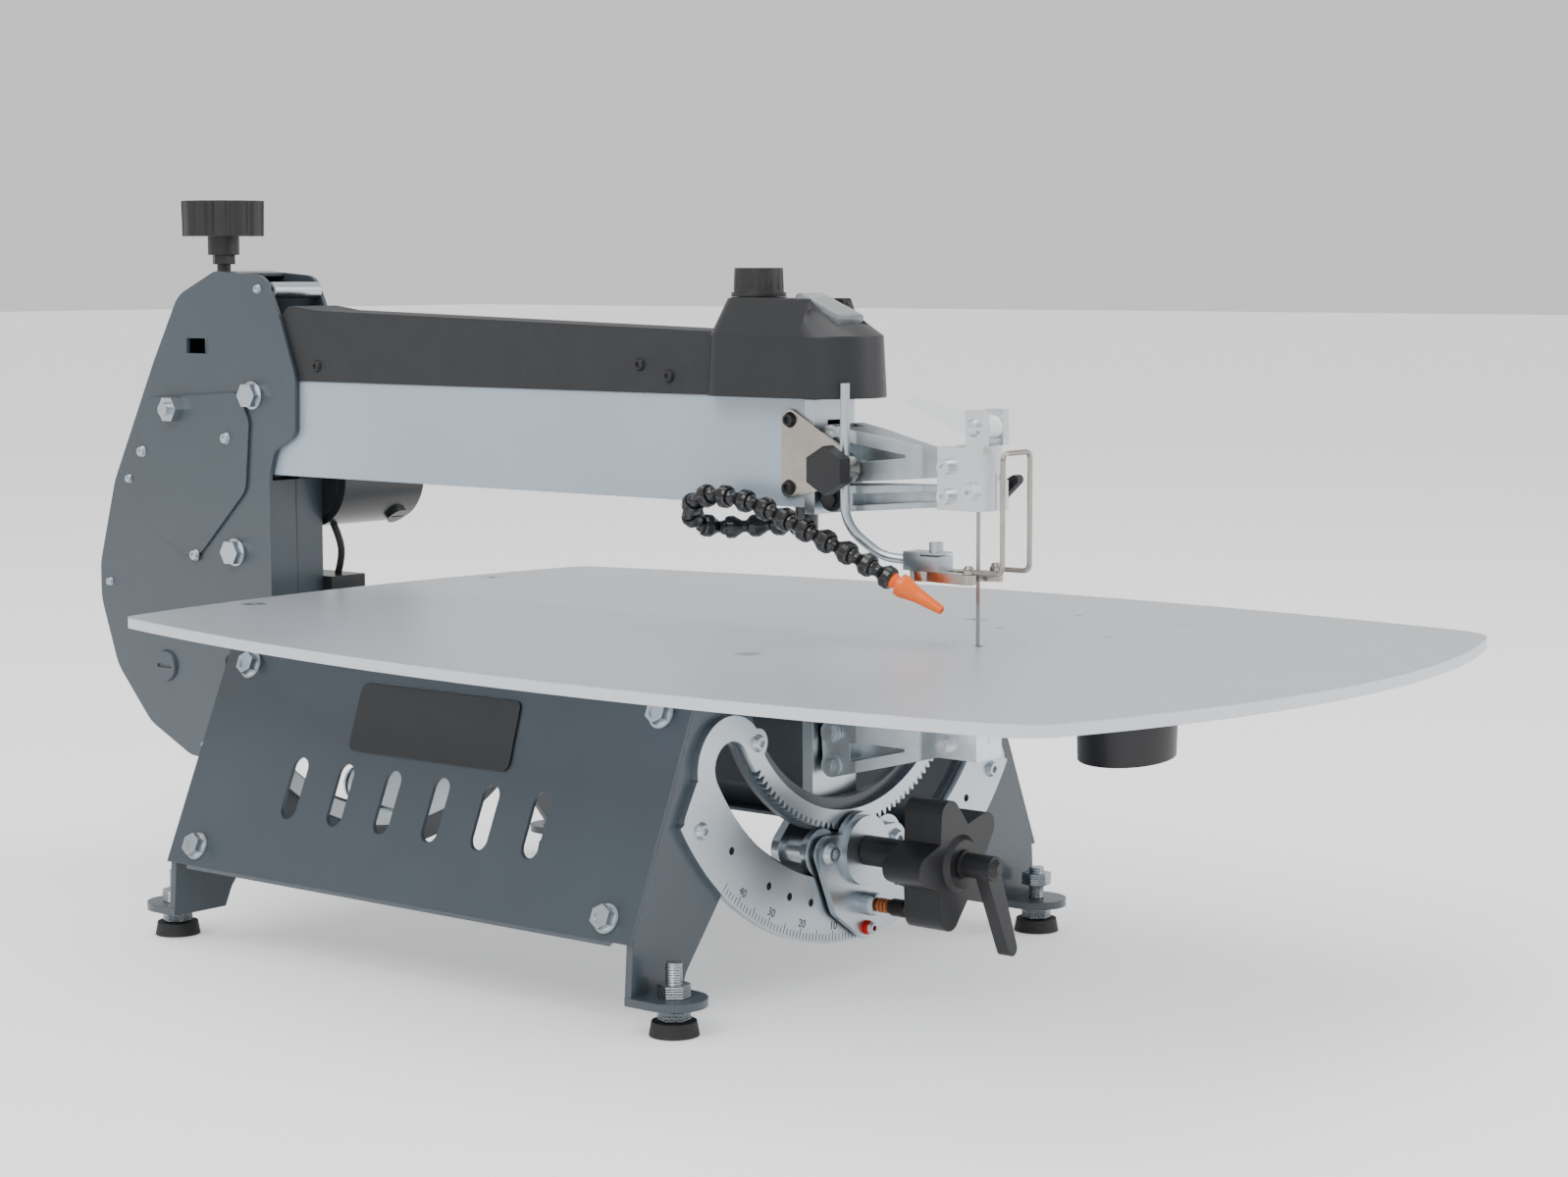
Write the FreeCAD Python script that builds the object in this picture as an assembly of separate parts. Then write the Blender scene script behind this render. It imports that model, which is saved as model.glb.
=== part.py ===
"""Bench scroll saw with a parallel link drive, a fixed table and a tilting head.

Working frame: X to the user's right, Y to the back, Z up. The blade stands at X 0, Y 0.
Sizes below are in drawing units. One drawing unit is UNIT millimetres, set by the throat,
and the parts are written in real millimetres, with the origin on the floor under the
centre of the outline.
"""
import FreeCAD, Part
import math
import os

V = FreeCAD.Vector

# Height of the table face in the working frame: the frame's reference, not a size of the machine.
DATUM = 216.5

# Throat, from the blade to the front of the column: real millimetres, and drawing units.
THROAT = 530.0
DRAWN_THROAT = 607.0
UNIT = THROAT / DRAWN_THROAT

# ------------------------------------------------------------------ table
TABLE_TOP = 216.5
TABLE_THICK = 7.0
TABLE_FRONT_HALF = 251.2
TABLE_FRONT_Y = -211.8
TABLE_REAR_HALF = 220.2
TABLE_REAR_Y = 530.4
TABLE_FRONT_BULGE = 51.9
TABLE_SIDE_BULGE = 41.9
TABLE_REAR_BULGE = 21.5
TABLE_FRONT_ROUND = 42.0
TABLE_REAR_ROUND = 14.0
INSERT_R = 29.4
INSERT_THICK = 3.0
INSERT_LEDGE = 3.4
VENT_HOLE_R = 0.9
ACCESSORY_HOLE_R = 3.0
ACCESSORY_X = (86.0, 175.0)
ACCESSORY_Y = (-36.0, 45.0)
CUP_R = 34.0
CUP_X = 147.5
CUP_Y = -12.0
CUP_DEPTH = 84.0
CUP_WALL = 3.0

# ------------------------------------------------------------------ base
FLOOR = DATUM - TABLE_TOP
SHEET = 5.0
PANEL = 2.5
SIDE_HALF = 147.5
SIDE_TOP = 193.0
SIDE_BOTTOM = 54.0
SIDE_REF_Z = 190.0
SIDE_SLOPE = 0.43
FRONT_LEG_Y = 99.0
REAR_LEG_Y = 510.0
FOOT_X = 184.6
FOOT_Y = (83.0, 526.0)
FOOT_HALF = 20.0
PAD_H = 8.5
PAD_BOSS = 0.8
FOOT_NUT_H = 8.0
STUD_R = 4.95
STUD_TOP = 43.0
STUD_FOOT = 4.0
STUD_CLEAR = 0.05
TABLE_SCREW_X = 115.0
TABLE_SCREW_R = 4.0
PANEL_BOLT_R = 4.0
PANEL_BOLT_Y = (120.0, 484.0)
PANEL_BOLT_Z = (181.0, 66.0)
SIDE_SLOTS = 6
SIDE_SLOT_PITCH = 43.0
SIDE_SLOT_Y = 303.0
SIDE_SLOT_Z = 110.0
SIDE_SLOT_W = 14.0
SIDE_SLOT_H = 38.0

# ------------------------------------------------------------------ tilt
TILT_Z = DATUM
RACK_TEETH = 144
PINION_TEETH = 18
GEAR_MODULE = 5.0 / 3.0
PRESSURE = math.radians(20.0)
BACKLASH = 0.3
BAND_R = 109.6
SCALE_R = 193.0
DETENT_R = 168.5
DETENT_ANGLES = (-45.0, -30.0, -22.5, -15.0, 0.0, 15.0, 22.5, 30.0, 45.0)
SLOT_END = 60.0
TILT_LIMIT = 45.0
GUIDE_ANGLE = 14.0
GUIDE_POST_R = 5.0
GUIDE_CLEAR = 0.3
ARM_CUT_R = 102.5
SHAFT_R = 8.0
CLAMP_ROD_R = 4.0
RUN_CLEAR = 0.05

TRUNNION_Y = FRONT_LEG_Y - SHEET
RACK_R = GEAR_MODULE * RACK_TEETH / 2
PINION_R = GEAR_MODULE * PINION_TEETH / 2
DRIVE_R = RACK_R + PINION_R
DRIVE_Z = TILT_Z - DRIVE_R
SLOT_IN = RACK_R + GEAR_MODULE
PINION_TIP_R = PINION_R + GEAR_MODULE
MESH_COS = (DRIVE_R ** 2 + SLOT_IN ** 2 - PINION_TIP_R ** 2) / (2 * DRIVE_R * SLOT_IN)
RACK_SPAN = math.radians(TILT_LIMIT) + math.acos(MESH_COS)
SLOT_OUT = DRIVE_R + PINION_R + GEAR_MODULE + 1.0
SLOT_MID = (SLOT_IN + SLOT_OUT) / 2
SLOT_HALF = (SLOT_OUT - SLOT_IN) / 2
GUIDE_R = SLOT_HALF - GUIDE_CLEAR

# ------------------------------------------------------------------ column and arms
COLUMN_HALF = 25.0
COLUMN_SHEET = 3.0
COLUMN_FRONT = DRAWN_THROAT
COLUMN_REAR = 800.0
SEAM = 0.4
ARM_HALF = 20.0
ARM_WALL = 3.0
ARM_TOP = 364.0
ARM_BOTTOM = 296.0
ARM_FRONT = 118.0
BRACKET = 8.0
LOWER_HALF = COLUMN_HALF - COLUMN_SHEET
LOWER_TOP = 184.0
LOWER_BOTTOM = 118.0
LIFT_Y = 622.8
LIFT_Z = 352.9
ROCKER_Y = 644.3
ROCKER_Z = 238.4
KNOB_Y = 681.0
KNOB_STUD_R = 5.0
KNOB_STUD_TIP = 405.3
TIP_GAP = 0.3

# ------------------------------------------------------------------ linkage
LINK_Y = 86.0
LINK_RISE = 5.0
UPPER_PIVOT = (100.0, 320.0)
UPPER_SLIDE_PIVOT = (100.0, 302.0)
UPPER_ROD = (100.0, 340.5)
LOWER_PIVOT = (100.0, 156.0)
LOWER_SLIDE_PIVOT = (100.0, 173.5)
LOWER_ROD = (100.0, 135.5)
HUB_R = 8.4
TIP_R = 6.5
PIN_R = 4.0
TIP_PIN_R = 3.0
FIT = 0.05
LUG_HALF = 5.0
TONGUE_HALF = 5.8
FORK_HALF = 15.0
SIDE_GAP = 0.4
ROD_R = 4.0
OPEN_PIVOT = 0.5
EYE_WALL = 3.0
REAR_EYE_R = PIN_R + OPEN_PIVOT + EYE_WALL
CRANK_Y = 620.0
CRANK_Z = 290.0
CRANK_THROW = 0.6
CRANK_CLEAR = 1.5
BLADE_THICK = 0.6
BLADE_WIDTH = 2.5
BLADE_FRONT = -1.5
BLADE_TOP = 314.0
BLADE_FOOT = 158.0

# ------------------------------------------------------------------ hold-down
HOLD_X = -25.5
HOLD_Y = 81.8
HOLD_Z = 321.8
HOLD_ROD_R = 3.0
GUARD_X = 14.0
GUARD_WIRE_R = 1.6

# ------------------------------------------------------------------ air hose
BEAD_R = 7.3
BALL_R = 5.0
BALL_CLEAR = 0.3
HOSE = [(12, 151, 282), (11, 167, 281), (6, 183, 279.5), (-3.5, 196, 278.5), (-17.5, 203.5, 280.5),
        (-30.5, 203, 288.5), (-37.5, 193.5, 297.5), (-39, 178.5, 302.5), (-38.5, 163, 301.5),
        (-38, 147, 299.2), (-38, 131, 294.5), (-38, 115, 288.5), (-38, 99, 282.6),
        (-37.7, 83, 276.6), (-36.7, 67.5, 270.3), (-34.7, 53.5, 263.6), (-31.5, 40.5, 256.6)]
HOSE_MID = 11
HOSE_TIP = 14
NOZZLE_TIP = (-24.0, 9.0, 239.5)
NOZZLE_BORE_R = 1.5
NOZZLE_BORE_DEPTH = 14.0

Y_MID = (TABLE_FRONT_Y - TABLE_FRONT_BULGE + COLUMN_REAR) / 2
NODES = {}


# ------------------------------------------------------------------ helpers
def place(axis, a, b, level):
    """Point (a, b) of the plane across the axis, at the given level along it."""
    if axis == "x":
        return V(level, a, b)
    if axis == "y":
        return V(a, level, b)
    return V(a, b, level)


def along(axis, length):
    return place(axis, 0, 0, length)


def wire(axis, points, level):
    """Closed wire through points (a, b) or (a, b, corner radius)."""
    corners = []
    count = len(points)
    for i, point in enumerate(points):
        here = V(point[0], point[1], 0)
        back = V(points[i - 1][0], points[i - 1][1], 0) - here
        ahead = V(points[(i + 1) % count][0], points[(i + 1) % count][1], 0) - here
        radius = point[2] if len(point) > 2 else 0
        if not radius:
            corners.append((here, None, here))
            continue
        back.normalize()
        ahead.normalize()
        half = back.getAngle(ahead) / 2
        bisector = (back + ahead).normalize()
        run = radius / math.tan(half)
        middle = here + bisector * (radius / math.sin(half) - radius)
        corners.append((here + back * run, middle, here + ahead * run))
    edges = []
    for i, (start, middle, end) in enumerate(corners):
        if middle:
            spots = [place(axis, p.x, p.y, level) for p in (start, middle, end)]
            edges.append(Part.Arc(*spots).toShape())
        follow = corners[(i + 1) % count][0]
        if (follow - end).Length > 1e-6:
            a = place(axis, end.x, end.y, level)
            b = place(axis, follow.x, follow.y, level)
            edges.append(Part.LineSegment(a, b).toShape())
    return Part.Wire(edges)


def slab(axis, points, low, high):
    face = Part.Face(wire(axis, points, low))
    return face.extrude(along(axis, high - low))


def box(x, y, z):
    return Part.makeBox(x[1] - x[0], y[1] - y[0], z[1] - z[0], V(x[0], y[0], z[0]))


def disc(axis, a, b, radius, low, high):
    return Part.makeCylinder(radius, high - low, place(axis, a, b, low), along(axis, 1))


def cone(axis, a, b, r_low, r_high, low, high):
    return Part.makeCone(r_low, r_high, high - low, place(axis, a, b, low), along(axis, 1))


def ring(axis, a, b, outer, inner, low, high):
    return disc(axis, a, b, outer, low, high).cut(disc(axis, a, b, inner, low - 1, high + 1))


def hexagon(axis, a, b, flats, low, high, turn=0.0):
    radius = flats / math.sqrt(3)
    points = []
    for i in range(6):
        angle = math.radians(60 * i + turn)
        points.append((a + radius * math.cos(angle), b + radius * math.sin(angle)))
    return slab(axis, points, low, high)


def fuse(shapes):
    shapes = list(shapes)
    return shapes[0].multiFuse(shapes[1:]).removeSplitter()


def cut(shape, tools):
    return shape.cut(list(tools))


def group(shapes):
    return Part.makeCompound(list(shapes))


def hull(axis, circles, low, high):
    """Convex plate around circles (a, b, radius), given in order round the plate."""
    pieces = [disc(axis, a, b, r, low, high) for a, b, r in circles]
    pairs = list(zip(circles, circles[1:] + circles[:1]))
    if len(circles) == 2:
        pairs = pairs[:1]
    for (a1, b1, r1), (a2, b2, r2) in pairs:
        span = math.hypot(a2 - a1, b2 - b1)
        heading = math.atan2(b2 - b1, a2 - a1)
        lean = math.acos((r1 - r2) / span)
        quad = []
        for a, b, r, side in ((a1, b1, r1, 1), (a2, b2, r2, 1), (a2, b2, r2, -1), (a1, b1, r1, -1)):
            angle = heading + side * lean
            quad.append((a + r * math.cos(angle), b + r * math.sin(angle)))
        pieces.append(slab(axis, quad, low, high))
    if len(circles) > 2:
        pieces.append(slab(axis, [(a, b) for a, b, r in circles], low, high))
    return fuse(pieces)


def mirror(shape):
    return shape.mirror(V(0, 0, 0), V(1, 0, 0))


def pair(shape):
    return [shape, mirror(shape)]


def polar(radius, degrees):
    """Point on the tilt circle, measured from straight down, positive to the right."""
    angle = math.radians(degrees)
    return radius * math.sin(angle), TILT_Z - radius * math.cos(angle)


def wedge(limit, low, high):
    """Sector under the tilt centre, out to the given angle on both sides."""
    reach = 600.0
    points = [(0, TILT_Z), polar(reach, -limit), polar(reach * 2, 0), polar(reach, limit)]
    return slab("y", points, low, high)


def arc_slot(r_mid, half, limit, low, high):
    body = ring("y", 0, TILT_Z, r_mid + half, r_mid - half, low, high)
    body = body.common(wedge(limit, low, high))
    ends = [disc("y", *polar(r_mid, side * limit), half, low, high) for side in (-1, 1)]
    return fuse([body] + ends)


def button_screw(axis, a, b, radius, level, height, sign, socket=0.55):
    """Domed screw head standing on a face, with a hexagon socket."""
    low, high = sorted((level, level + sign * height))
    r_low, r_high = (radius, radius * 0.72) if sign > 0 else (radius * 0.72, radius)
    head = cone(axis, a, b, r_low, r_high, low, high)
    mouth = level + sign * height
    deep = mouth - sign * height * socket
    return head.cut(hexagon(axis, a, b, radius * 0.8, min(mouth, deep), max(mouth, deep)))


def node(name, shape):
    """Add the solids of a shape to a named piece or group of like pieces."""
    NODES.setdefault(name, []).extend(shape.Solids)


# ------------------------------------------------------------------ gears
def involute(angle):
    return math.tan(angle) - angle


def half_tooth(radius, pitch_r):
    """Half the angle that a tooth covers at a radius."""
    base = pitch_r * math.cos(PRESSURE)
    at = math.acos(min(1.0, base / max(radius, base)))
    width = math.pi * GEAR_MODULE / 2 - BACKLASH / 2
    return width / (2 * pitch_r) + involute(PRESSURE) - involute(at)


def flank(pitch_r, low, high, steps=5):
    spots = []
    for i in range(steps + 1):
        radius = low + (high - low) * i / steps
        spots.append((radius, half_tooth(radius, pitch_r)))
    return spots


def pinion(low, high):
    root = PINION_R - 1.2 * GEAR_MODULE
    side = flank(PINION_R, root, PINION_TIP_R)
    points = []
    for k in range(PINION_TEETH):
        middle = math.radians(90.0 + 360.0 / PINION_TEETH * (k + 0.5))
        for radius, spread in side:
            points.append((radius, middle - spread))
        for radius, spread in reversed(side):
            points.append((radius, middle + spread))
    outline = [(r * math.cos(t), DRIVE_Z + r * math.sin(t)) for r, t in points]
    return slab("y", outline, low, high)


def rack_gaps(low, high):
    root = RACK_R - 1.2 * GEAR_MODULE
    pitch = 2 * math.pi / RACK_TEETH
    side = flank(RACK_R, root, SLOT_IN + 0.2)
    gaps = []
    count = math.ceil(RACK_SPAN / pitch) + 1
    for k in range(-count, count):
        middle = -math.pi / 2 + (k + 0.5) * pitch
        left = [(r, middle - pitch / 2 + s) for r, s in side]
        right = [(r, middle + pitch / 2 - s) for r, s in reversed(side)]
        outline = [(r * math.cos(t), TILT_Z + r * math.sin(t)) for r, t in left + right]
        gaps.append(slab("y", outline, low, high))
    return gaps


# ------------------------------------------------------------------ base
def side_x(z):
    """Outer face of the side panel at a height."""
    return SIDE_HALF + (SIDE_REF_Z - z) * SIDE_SLOPE


LEAN = math.atan(SIDE_SLOPE)
PANEL_X = PANEL / math.cos(LEAN)
FLANGE_X = 3.0 / math.cos(LEAN)


def leaning(inner, outer, z, y):
    """Layer parallel to the right side panel, between two offsets from its outer face."""
    points = [(side_x(z[0]) + inner, z[0]), (side_x(z[0]) + outer, z[0]),
              (side_x(z[1]) + outer, z[1]), (side_x(z[1]) + inner, z[1])]
    return slab("y", points, y[0], y[1])


def lean_turn(shape, y, z):
    """Stand a piece made along +Z at the origin on the right side panel."""
    shape = shape.copy()
    shape.rotate(V(0, 0, 0), V(0, 1, 0), 90 - math.degrees(LEAN))
    shape.translate(V(side_x(z), y, z))
    return shape


def bolt_spots():
    return [(y, z) for y in PANEL_BOLT_Y for z in PANEL_BOLT_Z]


def bolt_holes():
    tool = disc("z", 0, 0, PANEL_BOLT_R, -12, 4)
    return [lean_turn(tool, y, z) for y, z in bolt_spots()]


def leg_frame(outer_face, inward):
    """Folded leg plate; inward is +1 for the front leg and -1 for the rear one."""
    low, high = sorted((outer_face, outer_face + inward * SHEET))
    top = DATUM - TABLE_THICK
    edge = PANEL_X
    tab = FLOOR + PAD_H + PAD_BOSS + FOOT_NUT_H
    arch = polar(182.7, 40.2)
    half = [(side_x(top) - edge, top), (side_x(SIDE_BOTTOM + 3) - edge, SIDE_BOTTOM + 3, 8),
            (FOOT_X + FOOT_HALF, tab), (FOOT_X - FOOT_HALF - 4, tab),
            (155.0, FLOOR + 30.0, 8), (arch[0], arch[1], 8)]
    points = half + [(-p[0],) + tuple(p[1:]) for p in reversed(half)]
    plate = slab("y", points, low, high)
    belly = disc("y", 0, TILT_Z, 182.7, low, high)
    belly = belly.common(box((-112, 112), (low, high), (20, 90)))
    pieces = [plate, belly]
    reach = outer_face - inward * 23.0
    for side in (-1, 1):
        x0, x1 = sorted((side * (ARM_CUT_R + 3), side * (side_x(top) - edge)))
        y0, y1 = sorted((reach, outer_face + inward * SHEET))
        pieces.append(box((x0, x1), (y0, y1), (top - SHEET, top)))
        foot_y = FOOT_Y[0] if inward > 0 else FOOT_Y[1]
        foot = disc("z", side * FOOT_X, foot_y, FOOT_HALF, tab, tab + SHEET)
        x0, x1 = side * FOOT_X - FOOT_HALF, side * FOOT_X + FOOT_HALF
        y0, y1 = sorted((foot_y, outer_face + inward * SHEET))
        pieces.append(foot)
        pieces.append(box((x0, x1), (y0, y1), (tab, tab + SHEET)))
    y0, y1 = sorted((outer_face, PANEL_BOLT_Y[0 if inward > 0 else 1] + inward * 16.0))
    flange = leaning(-PANEL_X - FLANGE_X, -PANEL_X, (SIDE_BOTTOM + 3, SIDE_TOP - 3), (y0, y1))
    pieces += pair(flange)
    leg = fuse(pieces)
    tools = [disc("y", 0, TILT_Z, ARM_CUT_R, low - 30, high + 30)]
    tools.append(arc_slot(SLOT_MID, SLOT_HALF - 2.5, SLOT_END + 1.0, low - 1, high + 1))
    for hole in bolt_holes():
        tools += pair(hole)
    for side in (-1, 1):
        tools.append(disc("z", side * FOOT_X, foot_y, STUD_R + STUD_CLEAR, FLOOR, FLOOR + 60))
        screw_y = TABLE_SCREW_Y[0 if inward > 0 else 1]
        tools.append(disc("z", side * TABLE_SCREW_X, screw_y, TABLE_SCREW_R, top - 20, top + 1))
    for x, z in trunnion_screw_spots():
        tools.append(disc("y", x, z, TRUNNION_SCREW_R, low - 1, high + 1))
    return cut(leg, tools)


TRUNNION_SCREW_R = 3.0
TABLE_SCREW_Y = (FRONT_LEG_Y - 15.0, REAR_LEG_Y + 13.0)


def trunnion_screw_spots():
    return [(side * x, z) for side in (-1, 1) for x, z in ((146.5, 113.2), (94.3, 159.4))]


def make_base():
    node("front_leg_frame", leg_frame(FRONT_LEG_Y, 1))
    node("rear_leg_frame", leg_frame(REAR_LEG_Y, -1))
    panel = leaning(-PANEL_X, 0, (SIDE_BOTTOM, SIDE_TOP), (FRONT_LEG_Y, REAR_LEG_Y))
    foot = side_x(SIDE_BOTTOM)
    lip = slab("z", [(foot - 18, FRONT_LEG_Y + 25), (foot, FRONT_LEG_Y + 15),
                     (foot, REAR_LEG_Y - 20), (foot - 18, REAR_LEG_Y - 30)],
               SIDE_BOTTOM - PANEL, SIDE_BOTTOM)
    tools = list(bolt_holes())
    r = SIDE_SLOT_W / 2 - 0.01
    for i in range(SIDE_SLOTS):
        y = SIDE_SLOT_Y + (i - (SIDE_SLOTS - 1) / 2) * SIDE_SLOT_PITCH
        half = SIDE_SLOT_H / 2
        outline = [(y - r, SIDE_SLOT_Z - half, r * 0.98), (y + r, SIDE_SLOT_Z - half, r * 0.98),
                   (y + r, SIDE_SLOT_Z + half, r * 0.98), (y - r, SIDE_SLOT_Z + half, r * 0.98)]
        tools.append(slab("x", outline, 100, 230))
    panel = cut(fuse([panel, lip]), tools)
    node("right_side_panel", panel)
    node("left_side_panel", mirror(panel))
    head = fuse([disc("z", 0, 0, 9.0, 0, 2.0), cone("z", 0, 0, 7.4, 6.4, 2.0, 3.0),
                 hexagon("z", 0, 0, 13.0, 2.0, 8.0), disc("z", 0, 0, PANEL_BOLT_R, -10, 0)])
    head = head.cut(disc("z", 0, 0, 4.2, 7.0, 9.0))
    bolts = []
    for y, z in bolt_spots():
        bolts += pair(lean_turn(head, y, z))
    node("frame_bolts", group(bolts))
    layer = leaning(0, 1.6, (136, 182), (220, 390))
    plate = slab("x", [(229, 138, 5), (371, 138, 5), (375, 179, 5), (234, 179, 5)], 140, 190)
    node("nameplate", mirror(layer.common(plate)))
    make_feet()
    make_trunnions()
    make_table()


def make_feet():
    spots = [(side * FOOT_X, y) for side in (-1, 1) for y in FOOT_Y]
    pads, studs, nuts = [], [], []
    tab = FLOOR + PAD_H + PAD_BOSS + FOOT_NUT_H
    raised = (FOOT_X, FOOT_Y[0])
    for x, y in spots:
        top = FLOOR + PAD_H
        pad = cone("z", x, y, 15.0, 13.4, FLOOR, top)
        pad = fuse([pad, disc("z", x, y, 8.0, top, top + PAD_BOSS)])
        pads.append(pad.cut(disc("z", x, y, STUD_R + STUD_CLEAR, FLOOR + STUD_FOOT, FLOOR + 20)))
        studs.append(disc("z", x, y, STUD_R, FLOOR + STUD_FOOT, FLOOR + STUD_TOP))
        lift = 9.0 if (x, y) == raised else 0.0
        for z in (tab - FOOT_NUT_H, tab + SHEET + lift):
            nut = hexagon("z", x, y, 17.0, z, z + FOOT_NUT_H, 12.0)
            nuts.append(nut.cut(disc("z", x, y, STUD_R + STUD_CLEAR, z - 1, z + 20)))
    node("foot_pads", group(pads))
    node("levelling_studs", group(studs))
    node("levelling_studs", group(nuts))


def trunnion_plate(outer_r, low, high, horn):
    body = ring("y", 0, TILT_Z, outer_r, BAND_R, low, high).common(wedge(SLOT_END - 1, low, high))
    pieces = [body]
    for side in (-1, 1):
        x, z = polar(SLOT_MID, side * SLOT_END)
        pieces.append(disc("y", x, z, horn, low, high))
        for sx, sz in trunnion_screw_spots():
            if sx * side > 0:
                pieces.append(disc("y", sx, sz, 9.0, low, high))
    return fuse(pieces)


def make_trunnions():
    low, high = TRUNNION_Y, TRUNNION_Y + SHEET
    plate = trunnion_plate(SCALE_R, low, high, 31.0)
    corner = [polar(SCALE_R, 50), (163.0, 120.0, 8), polar(SLOT_MID + 30.0, SLOT_END + 4), polar(150, 45)]
    corner = slab("y", corner, low, high)
    plate = fuse([plate] + pair(corner))
    tools = [arc_slot(SLOT_MID, SLOT_HALF, SLOT_END, low - 1, high + 1)]
    tools += rack_gaps(low - 1, high + 1)
    for angle in DETENT_ANGLES:
        tools.append(disc("y", *polar(DETENT_R, angle), 2.5, low - 1, high + 1))
    holes = [disc("y", x, z, TRUNNION_SCREW_R, low - 1, high + 1) for x, z in trunnion_screw_spots()]
    node("front_trunnion", cut(plate, tools + holes))
    rear_high = REAR_LEG_Y - SHEET
    rear_low = rear_high - SHEET
    rear = trunnion_plate(SLOT_OUT + 12.0, rear_low, rear_high, 27.0)
    links = []
    for side in (-1, 1):
        links.append(hull("y", [(side * 146.5, 113.2, 9.0), (*polar(SLOT_MID + 22, side * 48), 8.0)],
                          rear_low, rear_high))
    rear = fuse([rear] + links)
    rear_tools = [arc_slot(SLOT_MID, SLOT_HALF, SLOT_END, rear_low - 1, rear_high + 1)]
    for x, z in trunnion_screw_spots():
        rear_tools.append(disc("y", x, z, TRUNNION_SCREW_R, rear_low - 1, rear_high + 1))
    node("rear_trunnion", cut(rear, rear_tools))
    screws = []
    for x, z in trunnion_screw_spots():
        for face, sign, deep in ((low, -1, FRONT_LEG_Y + SHEET), (rear_low, -1, REAR_LEG_Y)):
            head = button_screw("y", x, z, 5.6, face, 3.2, sign)
            screws.append(fuse([head, disc("y", x, z, TRUNNION_SCREW_R, face, deep)]))
    node("frame_bolts", group(screws))


def table_plan(z, height):
    fh, fy = TABLE_FRONT_HALF, TABLE_FRONT_Y
    rh, ry = TABLE_REAR_HALF, TABLE_REAR_Y
    side = V(fh - rh, -(ry - fy), 0)
    out = V(ry - fy, fh - rh, 0).normalize()
    middle = V((fh + rh) / 2, (fy + ry) / 2, 0) + out * TABLE_SIDE_BULGE
    corners = [V(-fh, fy, z), V(fh, fy, z), V(rh, ry, z), V(-rh, ry, z)]
    bulges = [V(0, fy - TABLE_FRONT_BULGE, z), V(middle.x, middle.y, z),
              V(0, ry + TABLE_REAR_BULGE, z), V(-middle.x, middle.y, z)]
    edges = [Part.Arc(corners[i], bulges[i], corners[(i + 1) % 4]).toShape() for i in range(4)]
    solid = Part.Face(Part.Wire(edges)).extrude(V(0, 0, height))
    for at, radius in ((corners[0], TABLE_FRONT_ROUND), (corners[1], TABLE_FRONT_ROUND),
                       (corners[2], TABLE_REAR_ROUND), (corners[3], TABLE_REAR_ROUND)):
        upright = [e for e in solid.Edges if abs(e.Length - height) < 1e-6
                   and math.hypot(e.CenterOfMass.x - at.x, e.CenterOfMass.y - at.y) < 1.0]
        solid = solid.makeFillet(radius, upright)
    return solid


def table_screw_spots():
    return [(side * TABLE_SCREW_X, y) for side in (-1, 1) for y in TABLE_SCREW_Y]


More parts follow.
